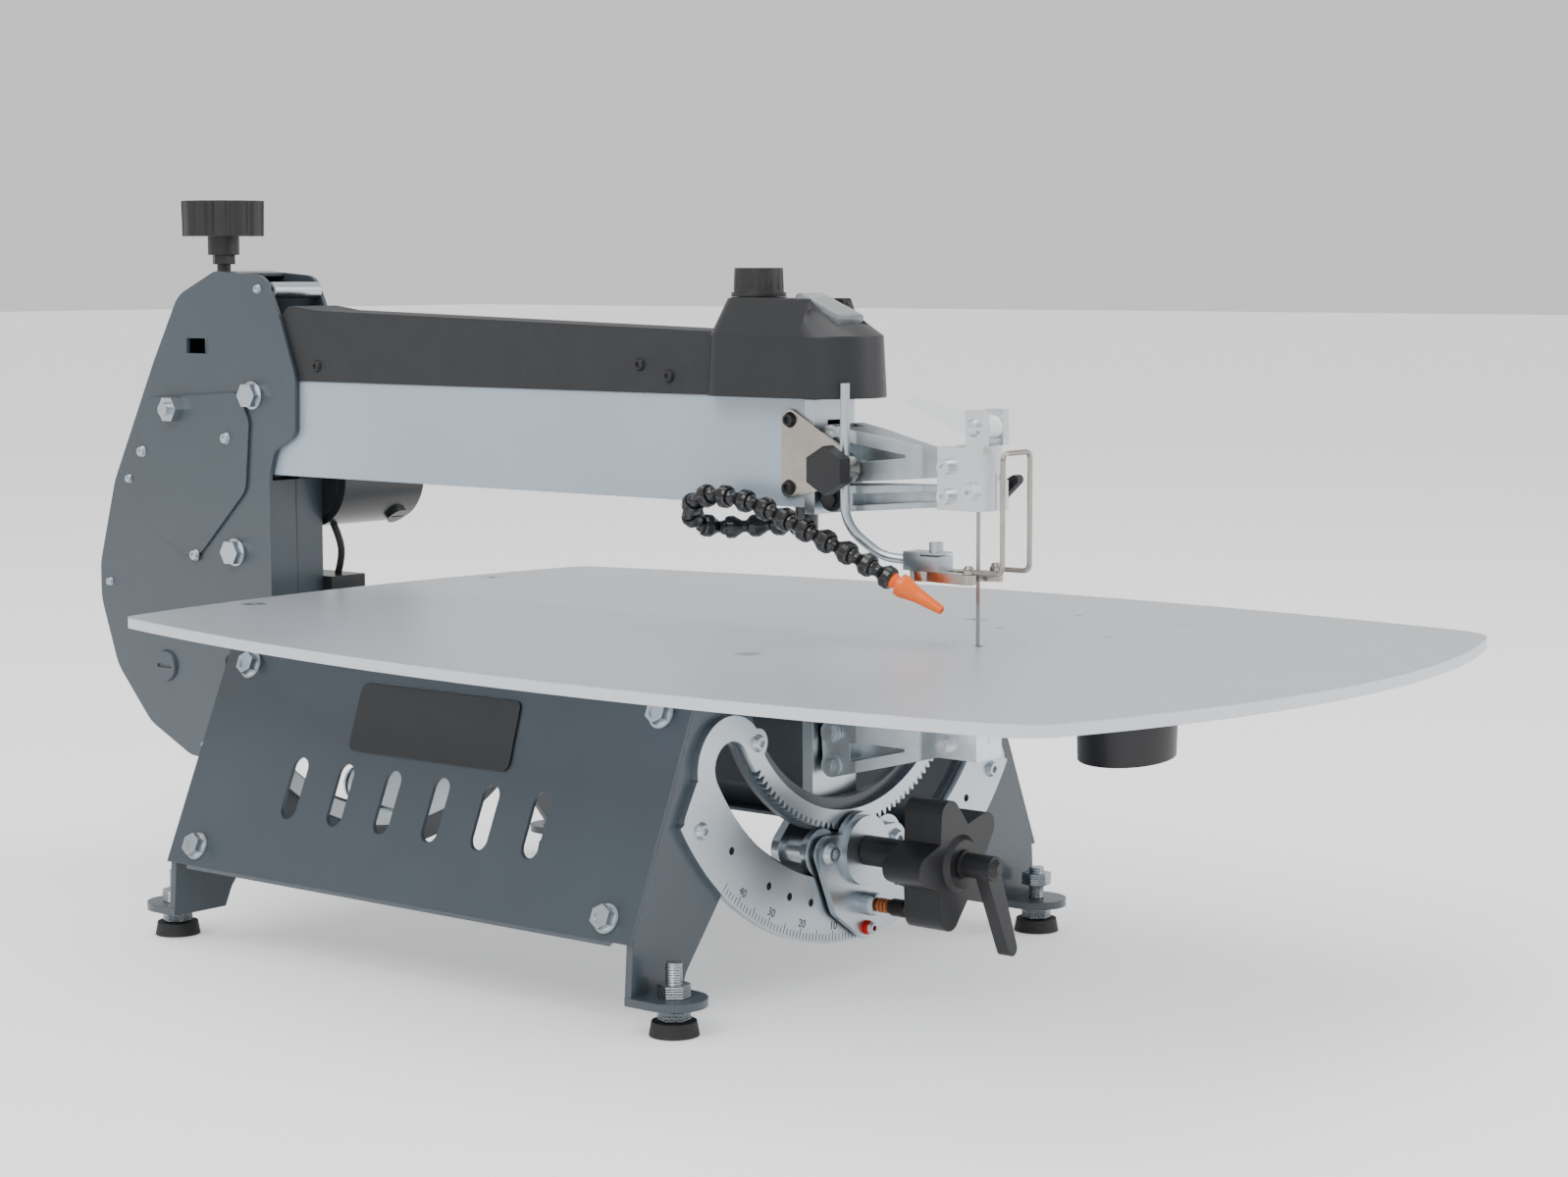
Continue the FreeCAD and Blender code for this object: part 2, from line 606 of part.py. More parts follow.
def make_table():
    bottom = DATUM - TABLE_THICK
    table = table_plan(bottom, TABLE_THICK)
    ledge_z = DATUM - INSERT_THICK
    tools = [disc("z", 0, 0, INSERT_R, ledge_z, DATUM + 1),
             disc("z", 0, 0, INSERT_R - INSERT_LEDGE, bottom - 1, ledge_z)]
    for x, y in table_screw_spots():
        tools.append(disc("z", x, y, TABLE_SCREW_R, bottom - 1, DATUM + 1))
        tools.append(cone("z", x, y, TABLE_SCREW_R, 8.6, DATUM - 4.6, DATUM))
    for x in ACCESSORY_X:
        for y in ACCESSORY_Y:
            tools.append(disc("z", x, y, ACCESSORY_HOLE_R, bottom - 1, DATUM + 1))
    for x in (-1, 1):
        tools.append(disc("z", CUP_X + x * 20, CUP_Y, 2.0, bottom - 1, DATUM - 3))
    node("table", cut(table, tools))
    screws = []
    for x, y in table_screw_spots():
        head = cone("z", x, y, TABLE_SCREW_R, 8.6, DATUM - 4.6, DATUM)
        head = fuse([head, disc("z", x, y, TABLE_SCREW_R, bottom - 12, DATUM - 4.6)])
        screws.append(head.cut(hexagon("z", x, y, 5.0, DATUM - 3, DATUM + 1)))
    node("frame_bolts", group(screws))
    insert = disc("z", 0, 0, INSERT_R - 0.15, ledge_z, DATUM)
    depth = INSERT_THICK + 1
    flare = slab("y", [(-1.6, DATUM + 1), (1.6, DATUM + 1),
                       (1.6 + depth * 1.25, ledge_z), (-1.6 - depth * 1.25, ledge_z)], -4.0, 4.0)
    holes = []
    for radius in (21.0, 26.0):
        for i in range(24):
            angle = math.radians(15 * i + radius)
            holes.append(disc("z", radius * math.cos(angle), radius * math.sin(angle), VENT_HOLE_R,
                              ledge_z - 1, DATUM + 1))
    node("blade_insert", cut(insert, [flare] + holes))
    cup = cone("z", CUP_X, CUP_Y, CUP_R - 2.5, CUP_R, bottom - CUP_DEPTH, bottom)
    inner = cone("z", CUP_X, CUP_Y, CUP_R - 2.5 - CUP_WALL, CUP_R - CUP_WALL,
                 bottom - CUP_DEPTH - 1, bottom - CUP_WALL)
    slope = slab("y", [(CUP_X - 60, bottom - CUP_DEPTH - 5), (CUP_X + 60, bottom - CUP_DEPTH - 5),
                       (CUP_X + 60, bottom - CUP_DEPTH + 14), (CUP_X - 60, bottom - CUP_DEPTH)],
                 CUP_Y - 60, CUP_Y + 60)
    cup = cut(cup, [inner, slope])
    bores = [disc("z", CUP_X + s * 20, CUP_Y, 2.0, bottom - 10, bottom + 1) for s in (-1, 1)]
    node("storage_cup", cut(cup, bores))
    pegs = []
    for s in (-1, 1):
        x = CUP_X + s * 20
        head = button_screw("z", x, CUP_Y, 4.0, bottom - CUP_WALL, 2.4, -1)
        pegs.append(fuse([head, disc("z", x, CUP_Y, 2.0, bottom - CUP_WALL, DATUM - 3)]))
    node("frame_bolts", group(pegs))


# ------------------------------------------------------------------ column
COLUMN_OUTLINE = [
    (COLUMN_FRONT, 162), (659, 162, 4), (659, 90, 6), (668, 82, 6), (700, 84, 20), (745, 105, 30),
    (782, 145, 36), (COLUMN_REAR, 195, 40), (COLUMN_REAR, 222, 30), (781, 285, 60), (733, 375, 60),
    (704, 424, 26), (662, 442, 18), (608, 438, 14), (592, 405, 30), (578, 367, 14), (579, 325, 10),
    (601, 314, 8), (COLUMN_FRONT, 296, 6)]
WINDOW = ((671.0, 695.0), (382.0, 393.0))
PLUG = (725.0, 149.0)
PLUG_R = 12.0
PIVOT_R = 6.0
COVER_OUTLINE = [(739, 348.5, 14), (637, 355, 12), (626, 334, 14), (631, 284, 16), (689, 229, 22),
                 (735, 250, 18), (759, 293, 20)]
COVER_SCREWS = [(746.0, 308.0), (651.5, 321.0), (688.0, 234.0)]
EDGE_SCREWS = [(616.0, 429.0), (764.0, 287.0), (789.0, 208.0), (683.0, 93.0)]
COLUMN_STUD = (707.6, 340.7)


def column_half():
    """Left half of the column: a side plate with folded rims that meet at the seam."""
    points = COLUMN_OUTLINE
    outer = slab("x", points, -COLUMN_HALF, -SEAM / 2)
    inside = Part.Face(wire("x", points, -COLUMN_HALF + COLUMN_SHEET))
    inside = inside.makeOffset2D(-PANEL).extrude(V(COLUMN_HALF, 0, 0))
    rim_x = (-COLUMN_HALF + COLUMN_SHEET, 1)
    tools = [inside,
             box(rim_x, (560, 640), (292, 460)),
             box(rim_x, (590, 672), (100, LOWER_TOP + 1.5)),
             disc("x", ROCKER_Y, ROCKER_Z, PIVOT_R, -40, 0),
             disc("x", LIFT_Y, LIFT_Z, PIVOT_R, -40, 0),
             disc("x", *PLUG, PLUG_R - 2, -40, 0),
             disc("z", 0, KNOB_Y, KNOB_STUD_R + 2, 400, 460),
             box((-40, -20), *WINDOW)]
    return cut(outer, tools)


def make_column():
    left = column_half()
    right = mirror(column_half())
    right = cut(right, [disc("x", CRANK_Y, CRANK_Z, 7.0, 0, 40)])
    node("column_left", left)
    node("column_right", right)
    face = -COLUMN_HALF
    cover = slab("x", COVER_OUTLINE, face - 2.0, face)
    node("column_covers", cut(cover, [disc("x", *COLUMN_STUD, 5.0, face - 5, face)]))
    screws = []
    for spot in COVER_SCREWS:
        screws.append(button_screw("x", *spot, 4.6, face - 2.0, 2.6, -1))
    for spot in EDGE_SCREWS:
        screw = button_screw("x", *spot, 3.6, face, 2.2, -1)
        screws += pair(screw)
    node("head_fasteners", group(screws))
    stud = fuse([disc("x", *COLUMN_STUD, 5.0, face - 14, face),
                 hexagon("x", *COLUMN_STUD, 17.0, face - 10, face - 2)])
    node("head_fasteners", stud)
    plug = fuse([disc("x", *PLUG, PLUG_R - 2, face, face + COLUMN_SHEET),
                 cone("x", *PLUG, PLUG_R - 1, PLUG_R, face - 2.5, face)])
    slot = box((face - 3, face - 1.2), (PLUG[0] - 8, PLUG[0] + 8), (PLUG[1] - 1.3, PLUG[1] + 1.3))
    node("column_covers", group(pair(plug.cut(slot))))
    node("head_fasteners", ring("x", 606, 428, 6.0, 3.5, face + COLUMN_SHEET, -face - COLUMN_SHEET))
    half = COLUMN_HALF
    pivot = fuse([disc("x", ROCKER_Y, ROCKER_Z, PIVOT_R, -half, half),
                  disc("x", ROCKER_Y, ROCKER_Z, 10.0, -half - 2, -half),
                  hexagon("x", ROCKER_Y, ROCKER_Z, 16.0, -half - 8, -half - 2),
                  hexagon("x", ROCKER_Y, ROCKER_Z, 16.0, half, half + 8)])
    node("head_fasteners", pivot)
    stub = fuse([disc("x", LIFT_Y, LIFT_Z, PIVOT_R, -half, -14.5),
                 disc("x", LIFT_Y, LIFT_Z, 10.0, -half - 2, -half),
                 hexagon("x", LIFT_Y, LIFT_Z, 16.0, -half - 8, -half - 2)])
    node("head_fasteners", group(pair(stub)))
    block = box((-LOWER_HALF, LOWER_HALF), (KNOB_Y - 14, KNOB_Y + 10), (412, 426))
    node("head_fasteners", cut(block, [disc("z", 0, KNOB_Y, KNOB_STUD_R + RUN_CLEAR, 400, 440)]))


def make_lower_arm():
    half = LOWER_HALF
    wall = ARM_WALL
    profile = [(ARM_FRONT, LOWER_BOTTOM), (500, LOWER_BOTTOM), (560, 162), (690, 162), (690, LOWER_TOP),
               (ARM_FRONT, LOWER_TOP)]
    beam = slab("x", profile, -half, half)
    tools = [box((-half + wall, half - wall), (ARM_FRONT - 1, 700), (LOWER_BOTTOM + wall, LOWER_TOP - wall)),
             box((-half + wall, half - wall), (485, 700), (100, LOWER_TOP - wall)),
             box((-half + wall, half - wall), (598, 700), (100, 200))]
    node("lower_arm", cut(beam, tools))
    plate = box((-half, half), (ARM_FRONT - BRACKET, ARM_FRONT), (113, 181))
    ears = [box((14, half - wall), (ARM_FRONT, ARM_FRONT + 30), (126, 176))]
    ears.append(mirror(ears[0]))
    lug = box((-LUG_HALF, LUG_HALF), (92, ARM_FRONT - BRACKET), (149.5, 181))
    bracket = fuse([plate, lug] + ears)
    tools = [box((-7, 7), (100, 130), (127, 144)),
             disc("x", *LOWER_PIVOT, PIN_R, -30, 30),
             disc("x", *LOWER_SLIDE_PIVOT, PIN_R, -30, 30)]
    node("lower_arm_bracket", cut(bracket, tools))


# ------------------------------------------------------------------ tilt carriers and drive
def guide_spots():
    return [polar(SLOT_MID, side * GUIDE_ANGLE) for side in (-1, 1)]


def carrier(low, high, foot):
    """Plate hung under the lower arm, reaching the guide posts and the tilt shaft."""
    (x0, z0), (x1, z1) = guide_spots()
    plate = hull("y", [(x0, z0, 12.0), (0, DRIVE_Z - 8, 14.0), (x1, z1, 12.0), (12, 112, 6.0), (-12, 112, 6.0)],
                 low, high)
    flange = box((-18, 18), foot, (LOWER_BOTTOM - 5, LOWER_BOTTOM))
    return fuse([plate, flange])


def guide_bushes(low, high):
    return [ring("y", x, z, GUIDE_R, GUIDE_POST_R, low + 0.2, high - 0.2) for x, z in guide_spots()]


POINTER_Y = 87.2
CARRIER_Y = 119.0


def make_tilt():
    front = carrier(CARRIER_Y, CARRIER_Y + 6, (CARRIER_Y, CARRIER_Y + 40))
    tools = [disc("y", 0, DRIVE_Z, SHAFT_R + RUN_CLEAR, CARRIER_Y - 1, CARRIER_Y + 60)]
    tools += [disc("y", x, z, GUIDE_POST_R, CARRIER_Y - 1, CARRIER_Y + 7) for x, z in guide_spots()]
    node("tilt_carriers", cut(front, tools))
    rear_y = REAR_LEG_Y - 2 * SHEET - 12.0
    rear = carrier(rear_y, rear_y + 6, (rear_y - 40, rear_y + 6))
    rear = rear.cut(box((-30, 30), (485, 520), (LOWER_BOTTOM, 140)))
    tools = [disc("y", x, z, GUIDE_POST_R, rear_y - 1, rear_y + 7) for x, z in guide_spots()]
    node("tilt_carriers", cut(rear, tools))
    posts = []
    for x, z in guide_spots():
        head = button_screw("y", x, z, 7.0, POINTER_Y, 4.0, -1)
        posts.append(fuse([head, disc("y", x, z, GUIDE_POST_R, POINTER_Y, CARRIER_Y + 6),
                           disc("y", x, z, GUIDE_POST_R + 3, FRONT_LEG_Y + SHEET + 1, CARRIER_Y)]))
        posts.append(fuse([disc("y", x, z, GUIDE_POST_R, rear_y, REAR_LEG_Y + 4),
                           disc("y", x, z, 12.0, REAR_LEG_Y + 1, REAR_LEG_Y + 3),
                           hexagon("y", x, z, 13.0, REAR_LEG_Y + 3, REAR_LEG_Y + 8)]))
    node("tilt_carriers", group(posts))
    bushes = guide_bushes(TRUNNION_Y, TRUNNION_Y + SHEET)
    bushes += guide_bushes(REAR_LEG_Y - 2 * SHEET, REAR_LEG_Y - SHEET)
    node("tilt_carriers", group(bushes))
    (x0, z0), (x1, z1) = guide_spots()
    plate = hull("y", [(x0, z0, 10.5), (-20, 50, 9.0), (3, 27, 3.0), (12, 44, 9.0), (x1, z1, 10.5)],
                 POINTER_Y, POINTER_Y + 4.5)
    crown = disc("y", 0, DRIVE_Z, 24.0, POINTER_Y, POINTER_Y + 4.5)
    tools = [disc("y", 0, DRIVE_Z, SHAFT_R + RUN_CLEAR, 80, 95),
             disc("y", 0, TILT_Z - DETENT_R, 3.0 + RUN_CLEAR, 80, 95),
             disc("y", 3.5, 31.5, 2.0, 80, 95)]
    tools += [disc("y", x, z, GUIDE_POST_R, 80, 95) for x, z in guide_spots()]
    node("pointer_plate", cut(fuse([plate, crown]), tools))
    bushing = fuse([disc("y", 0, DRIVE_Z, 22.0, POINTER_Y - 4, POINTER_Y)])
    node("pointer_plate", cut(bushing, [disc("y", 0, DRIVE_Z, SHAFT_R + RUN_CLEAR, 70, 95)]))
    z = TILT_Z - DETENT_R
    housing = fuse([cone("y", 0, z, 6.4, 7.4, POINTER_Y - 12, POINTER_Y - 9),
                    disc("y", 0, z, 7.4, POINTER_Y - 9, POINTER_Y)])
    node("pointer_plate", cut(housing, [disc("y", 0, z, 3.0 + RUN_CLEAR, 60, 95)]))
    pin = fuse([disc("y", 0, z, 3.0, 58, POINTER_Y + 3.5),
                disc("y", 0, z, 2.4, POINTER_Y + 3.5, TRUNNION_Y - 0.5),
                disc("y", 0, z, 5.6, 54, 63), cone("y", 0, z, 4.4, 5.6, 52.5, 54)])
    node("index_plunger", pin)
    coils = [ring("y", 0, z, 4.6, 3.0, 63.3 + 2.9 * i, 65.2 + 2.9 * i) for i in range(4)]
    sleeve = ring("y", 0, z, 3.6, 3.0, 63.0, POINTER_Y - 12.3)
    node("index_plunger", fuse(coils + [sleeve]))
    stop = fuse([disc("y", 3.5, 31.5, 2.0, POINTER_Y - 2, POINTER_Y + 4.5),
                 button_screw("y", 3.5, 31.5, 4.4, POINTER_Y - 2, 4.5, -1)])
    node("pointer_plate", stop)
    node("pointer_plate", ring("y", 3.5, 31.5, 4.6, 2.0, POINTER_Y - 2, POINTER_Y))
    make_tilt_drive()


LOBES = 5
LOBE_R = 42.0


def make_tilt_drive():
    shaft = disc("y", 0, DRIVE_Z, SHAFT_R, 40.0, CARRIER_Y + 6.5)
    shaft = fuse([shaft, pinion(TRUNNION_Y + 0.2, TRUNNION_Y + SHEET - 0.2)])
    node("pinion_shaft", cut(shaft, [disc("y", 0, DRIVE_Z, CLAMP_ROD_R + RUN_CLEAR, 0, 140)]))
    arms = []
    for k in range(LOBES):
        angle = math.radians(108 + 360.0 / LOBES * k)
        x = (LOBE_R - 9.0) * math.cos(angle)
        z = DRIVE_Z + (LOBE_R - 9.0) * math.sin(angle)
        arms.append(hull("y", [(0, DRIVE_Z, 21.0), (x, z, 9.0)], 12.0, 40.0))
    grip = fuse(arms + [cone("y", 0, DRIVE_Z, 15.0, 18.0, 9.0, 12.0),
                        disc("y", 0, DRIVE_Z, 9.5, 40.0, POINTER_Y - 4.4)])
    sleeve_bore = disc("y", 0, DRIVE_Z, SHAFT_R, 40.0, 95)
    rod_bore = disc("y", 0, DRIVE_Z, CLAMP_ROD_R + RUN_CLEAR, 0, 60)
    node("tilt_knob", cut(grip, [sleeve_bore, rod_bore]))
    end = CARRIER_Y + 6.5
    rod = fuse([disc("y", 0, DRIVE_Z, CLAMP_ROD_R, -8.0, end + 8),
                hexagon("y", 0, DRIVE_Z, 17.0, end + 0.3, end + 7)])
    node("clamp_lever", rod)
    node("clamp_lever", ring("y", 0, DRIVE_Z, 9.0, CLAMP_ROD_R, 7.0, 8.7))
    hub = cut(disc("y", 0, DRIVE_Z, 7.6, -14.0, 7.0), [disc("y", 0, DRIVE_Z, CLAMP_ROD_R, -8.0, 8.0)])
    tip_x, tip_z = 22.0, 28.0
    arm = hull("y", [(0, DRIVE_Z, 7.0), (tip_x, tip_z, 4.6)], -12.0, -3.0)
    arm = cut(arm, [disc("y", 0, DRIVE_Z, 7.6, -20, 10)])
    nose = cone("y", 0, DRIVE_Z, 3.4, 6.0, -17.5, -14.0)
    node("clamp_lever", fuse([hub, arm, nose]))


# ------------------------------------------------------------------ motor and drive
MOTOR_R = 35.0
MOTOR_END = 104.0


def make_motor():
    y, z = CRANK_Y, CRANK_Z
    face = COLUMN_HALF
    shell = fuse([disc("x", y, z, MOTOR_R, face + 3, MOTOR_END), disc("x", y, z, MOTOR_R - 5, face, face + 3)])
    inner = disc("x", y, z, MOTOR_R - 3, face + 6, MOTOR_END + 1)
    shell = cut(shell, [inner, disc("x", y, z, 4.0 + RUN_CLEAR, 0, 60)])
    node("motor_housing", shell)
    lean = V(0, -0.61, -0.79)
    bell = fuse([ring("x", y, z, MOTOR_R, 6.0, MOTOR_END, MOTOR_END + 3),
                 cone("x", y, z, MOTOR_R - 1, MOTOR_R - 5, MOTOR_END + 3, MOTOR_END + 6)])
    bell = cut(bell, [disc("x", y, z, 4.0 + RUN_CLEAR, MOTOR_END - 1, MOTOR_END + 4)])
    node("motor_housing", bell)
    seat = V(90, y, z)
    cap = Part.makeCylinder(8.0, 5.0, seat + lean * (MOTOR_R - 1.5), lean)
    cap = cap.cut(disc("x", y, z, MOTOR_R, 60, 120))
    mark = Part.makeBox(12, 1.6, 1.2, V(-6, -0.8, -0.6))
    mark.rotate(V(0, 0, 0), V(1, 0, 0), math.degrees(math.atan2(0.61, 0.79)))
    mark.translate(seat + lean * (MOTOR_R + 3.4))
    node("motor_housing", cap.cut(mark))
    pin_z = z + CRANK_THROW
    rotor = fuse([disc("x", y, z, 4.0, 12.5, MOTOR_END + 3), disc("x", y, z, 24.0, 42.0, 92.0),
                  disc("x", y, z, 9.0, 12.5, 16.5), disc("x", y, pin_z, 4.0, 8.7, 12.5)])
    node("motor_rotor", rotor)
    rod = hull("x", [(y, z, 4.0 + CRANK_CLEAR + 2.5), (y, ROCKER_Z, 6.0)], 9.0, 12.0)
    rod = cut(rod, [disc("x", y, z, 4.0 + CRANK_CLEAR, 0, 20), disc("x", y, ROCKER_Z, TIP_PIN_R + FIT, 0, 20)])
    node("connecting_rod", rod)
    low = fuse([box((face, 58), (598, 650), (165, 219.5))])
    node("control_box", low)
    gland = fuse([disc("y", 42, 190, 8.0, 650, 658), cone("y", 42, 190, 6.5, 5.0, 658, 664)])
    node("control_box", cut(gland, [disc("y", 42, 190, 3.4, 651, 670)]))
    node("motor_lead", lead([V(40, 612, 257.2), V(42, 607, 246), V(44, 607, 232), V(44, 612, 219.5)], 2.6))


def lead(points, radius):
    """Round cable along straight runs joined by tangent arcs."""
    edges = []
    start = points[0]
    for back, here, ahead in zip(points, points[1:], points[2:]):
        one = (back - here)
        two = (ahead - here)
        run = 0.45 * min(one.Length, two.Length)
        one.normalize()
        two.normalize()
        half = one.getAngle(two) / 2
        bend = run * math.tan(half)
        middle = here + (one + two).normalize() * (bend / math.sin(half) - bend)
        a, b = here + one * run, here + two * run
        edges.append(Part.LineSegment(start, a).toShape())
        edges.append(Part.Arc(a, middle, b).toShape())
        start = b
    edges.append(Part.LineSegment(start, points[-1]).toShape())
    path = Part.Wire(edges)
    heading = (points[1] - points[0]).normalize()
    ends = Part.Wire([Part.makeCircle(radius, points[0], heading)])
    return path.makePipeShell([ends], True, False)


def make_rear_rocker():
    top = (LIFT_Y, LIFT_Z, 7.2)
    foot = (2 * ROCKER_Y - LIFT_Y, 2 * ROCKER_Z - LIFT_Z, 7.2)
    middle = (ROCKER_Y, ROCKER_Z, 13.0)
    nose = (CRANK_Y, ROCKER_Z, 6.0)
    body = fuse([hull("x", [top, middle], -10, 10), hull("x", [foot, middle], -10, 10),
                 hull("x", [nose, middle], -6, 6), disc("x", *middle, -21, 21)])
    slim = [box(side, (560, 720), z) for side in ((-12, -6), (6, 12)) for z in
            ((ROCKER_Z + 14, LIFT_Z - 22), (foot[1] + 22, ROCKER_Z - 14))]
    gap = LUG_HALF + SIDE_GAP
    tools = slim + [box((-gap, gap), (560, 720), (LIFT_Z - 14, LIFT_Z + 14)),
                    box((-gap, gap), (560, 720), (foot[1] - 14, foot[1] + 14)),
                    disc("x", ROCKER_Y, ROCKER_Z, PIVOT_R + FIT, -30, 30)]
    pins = [disc("x", top[0], top[1], PIN_R, -12, 12), disc("x", foot[0], foot[1], PIN_R, -12, 12),
            disc("x", nose[0], nose[1], TIP_PIN_R, 0, 14)]
    node("rear_rocker", cut(cut(body, tools), pins))
    heads = [disc("x", CRANK_Y, ROCKER_Z, 5.0, 12.3, 14.0)]
    node("rear_rocker", group([pins[0], pins[1], fuse([pins[2]] + heads)]))


def drive_rod(front, rear):
    """Push rod from the bell crank eye to the rear rocker eye."""
    eye_r = 7.0
    a, b = V(0, front[0], front[1]), V(0, rear[0], rear[1])
    shaft = Part.makeCylinder(ROD_R, (b - a).Length, a, b - a)
    eyes = [disc("x", *front, eye_r, -LUG_HALF, LUG_HALF), disc("x", *rear, REAR_EYE_R, -LUG_HALF, LUG_HALF)]
    rod = fuse([shaft] + eyes)
    return cut(rod, [disc("x", *front, TIP_PIN_R + FIT, -9, 9), disc("x", *rear, PIN_R + OPEN_PIVOT, -9, 9)])


# ------------------------------------------------------------------ parallel links
def link_plan(z):
    """Plan of a link: a wide fork round the frame lug, narrowing to a tongue."""
    half = [(FORK_HALF, 114), (FORK_HALF, 82, 6), (TONGUE_HALF, 38, 10), (TONGUE_HALF, 4)]
    points = half + [(-p[0],) + tuple(p[1:]) for p in reversed(half)]
    return slab("z", points, z[0], z[1])


def link(pivot, tip, circles, extra=()):
    low = min(c[1] for c in circles) - 20
    body = hull("x", circles, -FORK_HALF, FORK_HALF).common(link_plan((low, low + 90)))
    gap = LUG_HALF + SIDE_GAP
    tools = [box((-gap, gap), (pivot[0] - HUB_R - 1.2, 130), (low, low + 90)),
             disc("x", *pivot, PIN_R + FIT, -30, 30), disc("x", *tip, TIP_PIN_R + FIT, -30, 30)]
    return cut(body, tools + list(extra))


def recess(points):
    """Shallow pockets in both flanks that leave a web in the middle."""
    return [slab("x", points, -30, -3), slab("x", points, 3, 30)]


def tip_of(pivot, rise):
    return pivot[0] - LINK_Y, pivot[1] + rise


def frame_pins(pivots):
    pins = []
    for spot in pivots:
        half = FORK_HALF
        shank = disc("x", *spot, PIN_R, -half - 4.8, half + 4.6)
        head = hexagon("x", *spot, 10.0, -half - 4.6, -half - 1.9)
        parts = [shank, head, disc("x", *spot, 6.0, half + 1.9, half + 4.6)]
        pins.append(fuse(parts))
    return group(pins)


def seals(pivots):
    rings = []
    for spot in pivots:
        for low in (-FORK_HALF - 1.9, FORK_HALF + 0.3):
            rings.append(ring("x", *spot, 7.6, PIN_R, low, low + 1.6))
    return group(rings)


def make_links():
    for name, pivot, slide, rod_pin, rise in (
            ("upper", UPPER_PIVOT, UPPER_SLIDE_PIVOT, UPPER_ROD, LINK_RISE),
            ("lower", LOWER_PIVOT, LOWER_SLIDE_PIVOT, LOWER_ROD, 0.0)):
        tip = tip_of(pivot, rise)
        slide_tip = tip_of(slide, rise)
        flip = 1 if rod_pin[1] > pivot[1] else -1
        circles = [(*pivot, HUB_R), (*rod_pin, 7.5), (*tip, TIP_R)]
        if flip < 0:
            circles.reverse()
        z0 = pivot[1]
        pocket = [(86, z0 + flip * 4.5, 1.5), (86, z0 + flip * 17, 1.5), (43, z0 + flip * 6.5 + rise * 0.6, 1)]
        if flip < 0:
            pocket.reverse()
        extra = recess(pocket) + [disc("x", *rod_pin, TIP_PIN_R, -30, 30)]
        gap = LUG_HALF + SIDE_GAP
        low = min(rod_pin[1], pivot[1]) - 12
        extra.append(box((-gap, gap), (rod_pin[0] - 9, 130), (low, low + 50)))
        node(name + "_bell_crank", link(pivot, tip, circles, extra))
        bar = [(*slide, HUB_R), (*slide_tip, TIP_R)]
        slot_z = slide[1]
        groove = [(84, slot_z - 3.4), (84, slot_z + 3.8),
                  (28, slot_z + 3.0 + rise * 0.8), (28, slot_z - 3.0 + rise * 0.8)]
        node(name + "_link", link(slide, slide_tip, bar, recess(groove)))
        cross = fuse([disc("x", *rod_pin, TIP_PIN_R, -FORK_HALF - 4.6, FORK_HALF + 2),
                      hexagon("x", *rod_pin, 8.0, -FORK_HALF - 4.0, -FORK_HALF - 1.6)])
        washer = ring("x", *rod_pin, 7.4, TIP_PIN_R, -FORK_HALF - 1.6, -FORK_HALF)
        node(name + "_bell_crank", washer)
        node(name + "_bell_crank", cross)
        holder = "upper_arm_fasteners" if name == "upper" else "head_fasteners"
        node(holder, frame_pins((pivot, slide)))
        node(holder, seals((pivot, slide)))
        rear_y = LIFT_Y if name == "upper" else 2 * ROCKER_Y - LIFT_Y
        rear_z = LIFT_Z if name == "upper" else 2 * ROCKER_Z - LIFT_Z
        node(name + "_drive_rod", drive_rod(rod_pin, (rear_y, rear_z)))


def tip_pins(pivots, half):
    pins = []
    for spot in pivots:
        head = disc("x", *spot, 4.6, -half - 4.6, -half).cut(hexagon("x", *spot, 4.0, -half - 5, -half - 2.4))
        pins.append(fuse([head, disc("x", *spot, TIP_PIN_R, -half, half)]))
    return group(pins)


HOLDER_HALF = 13.0
HOLDER_SLOT = 6.2
SCREW_R = 3.0


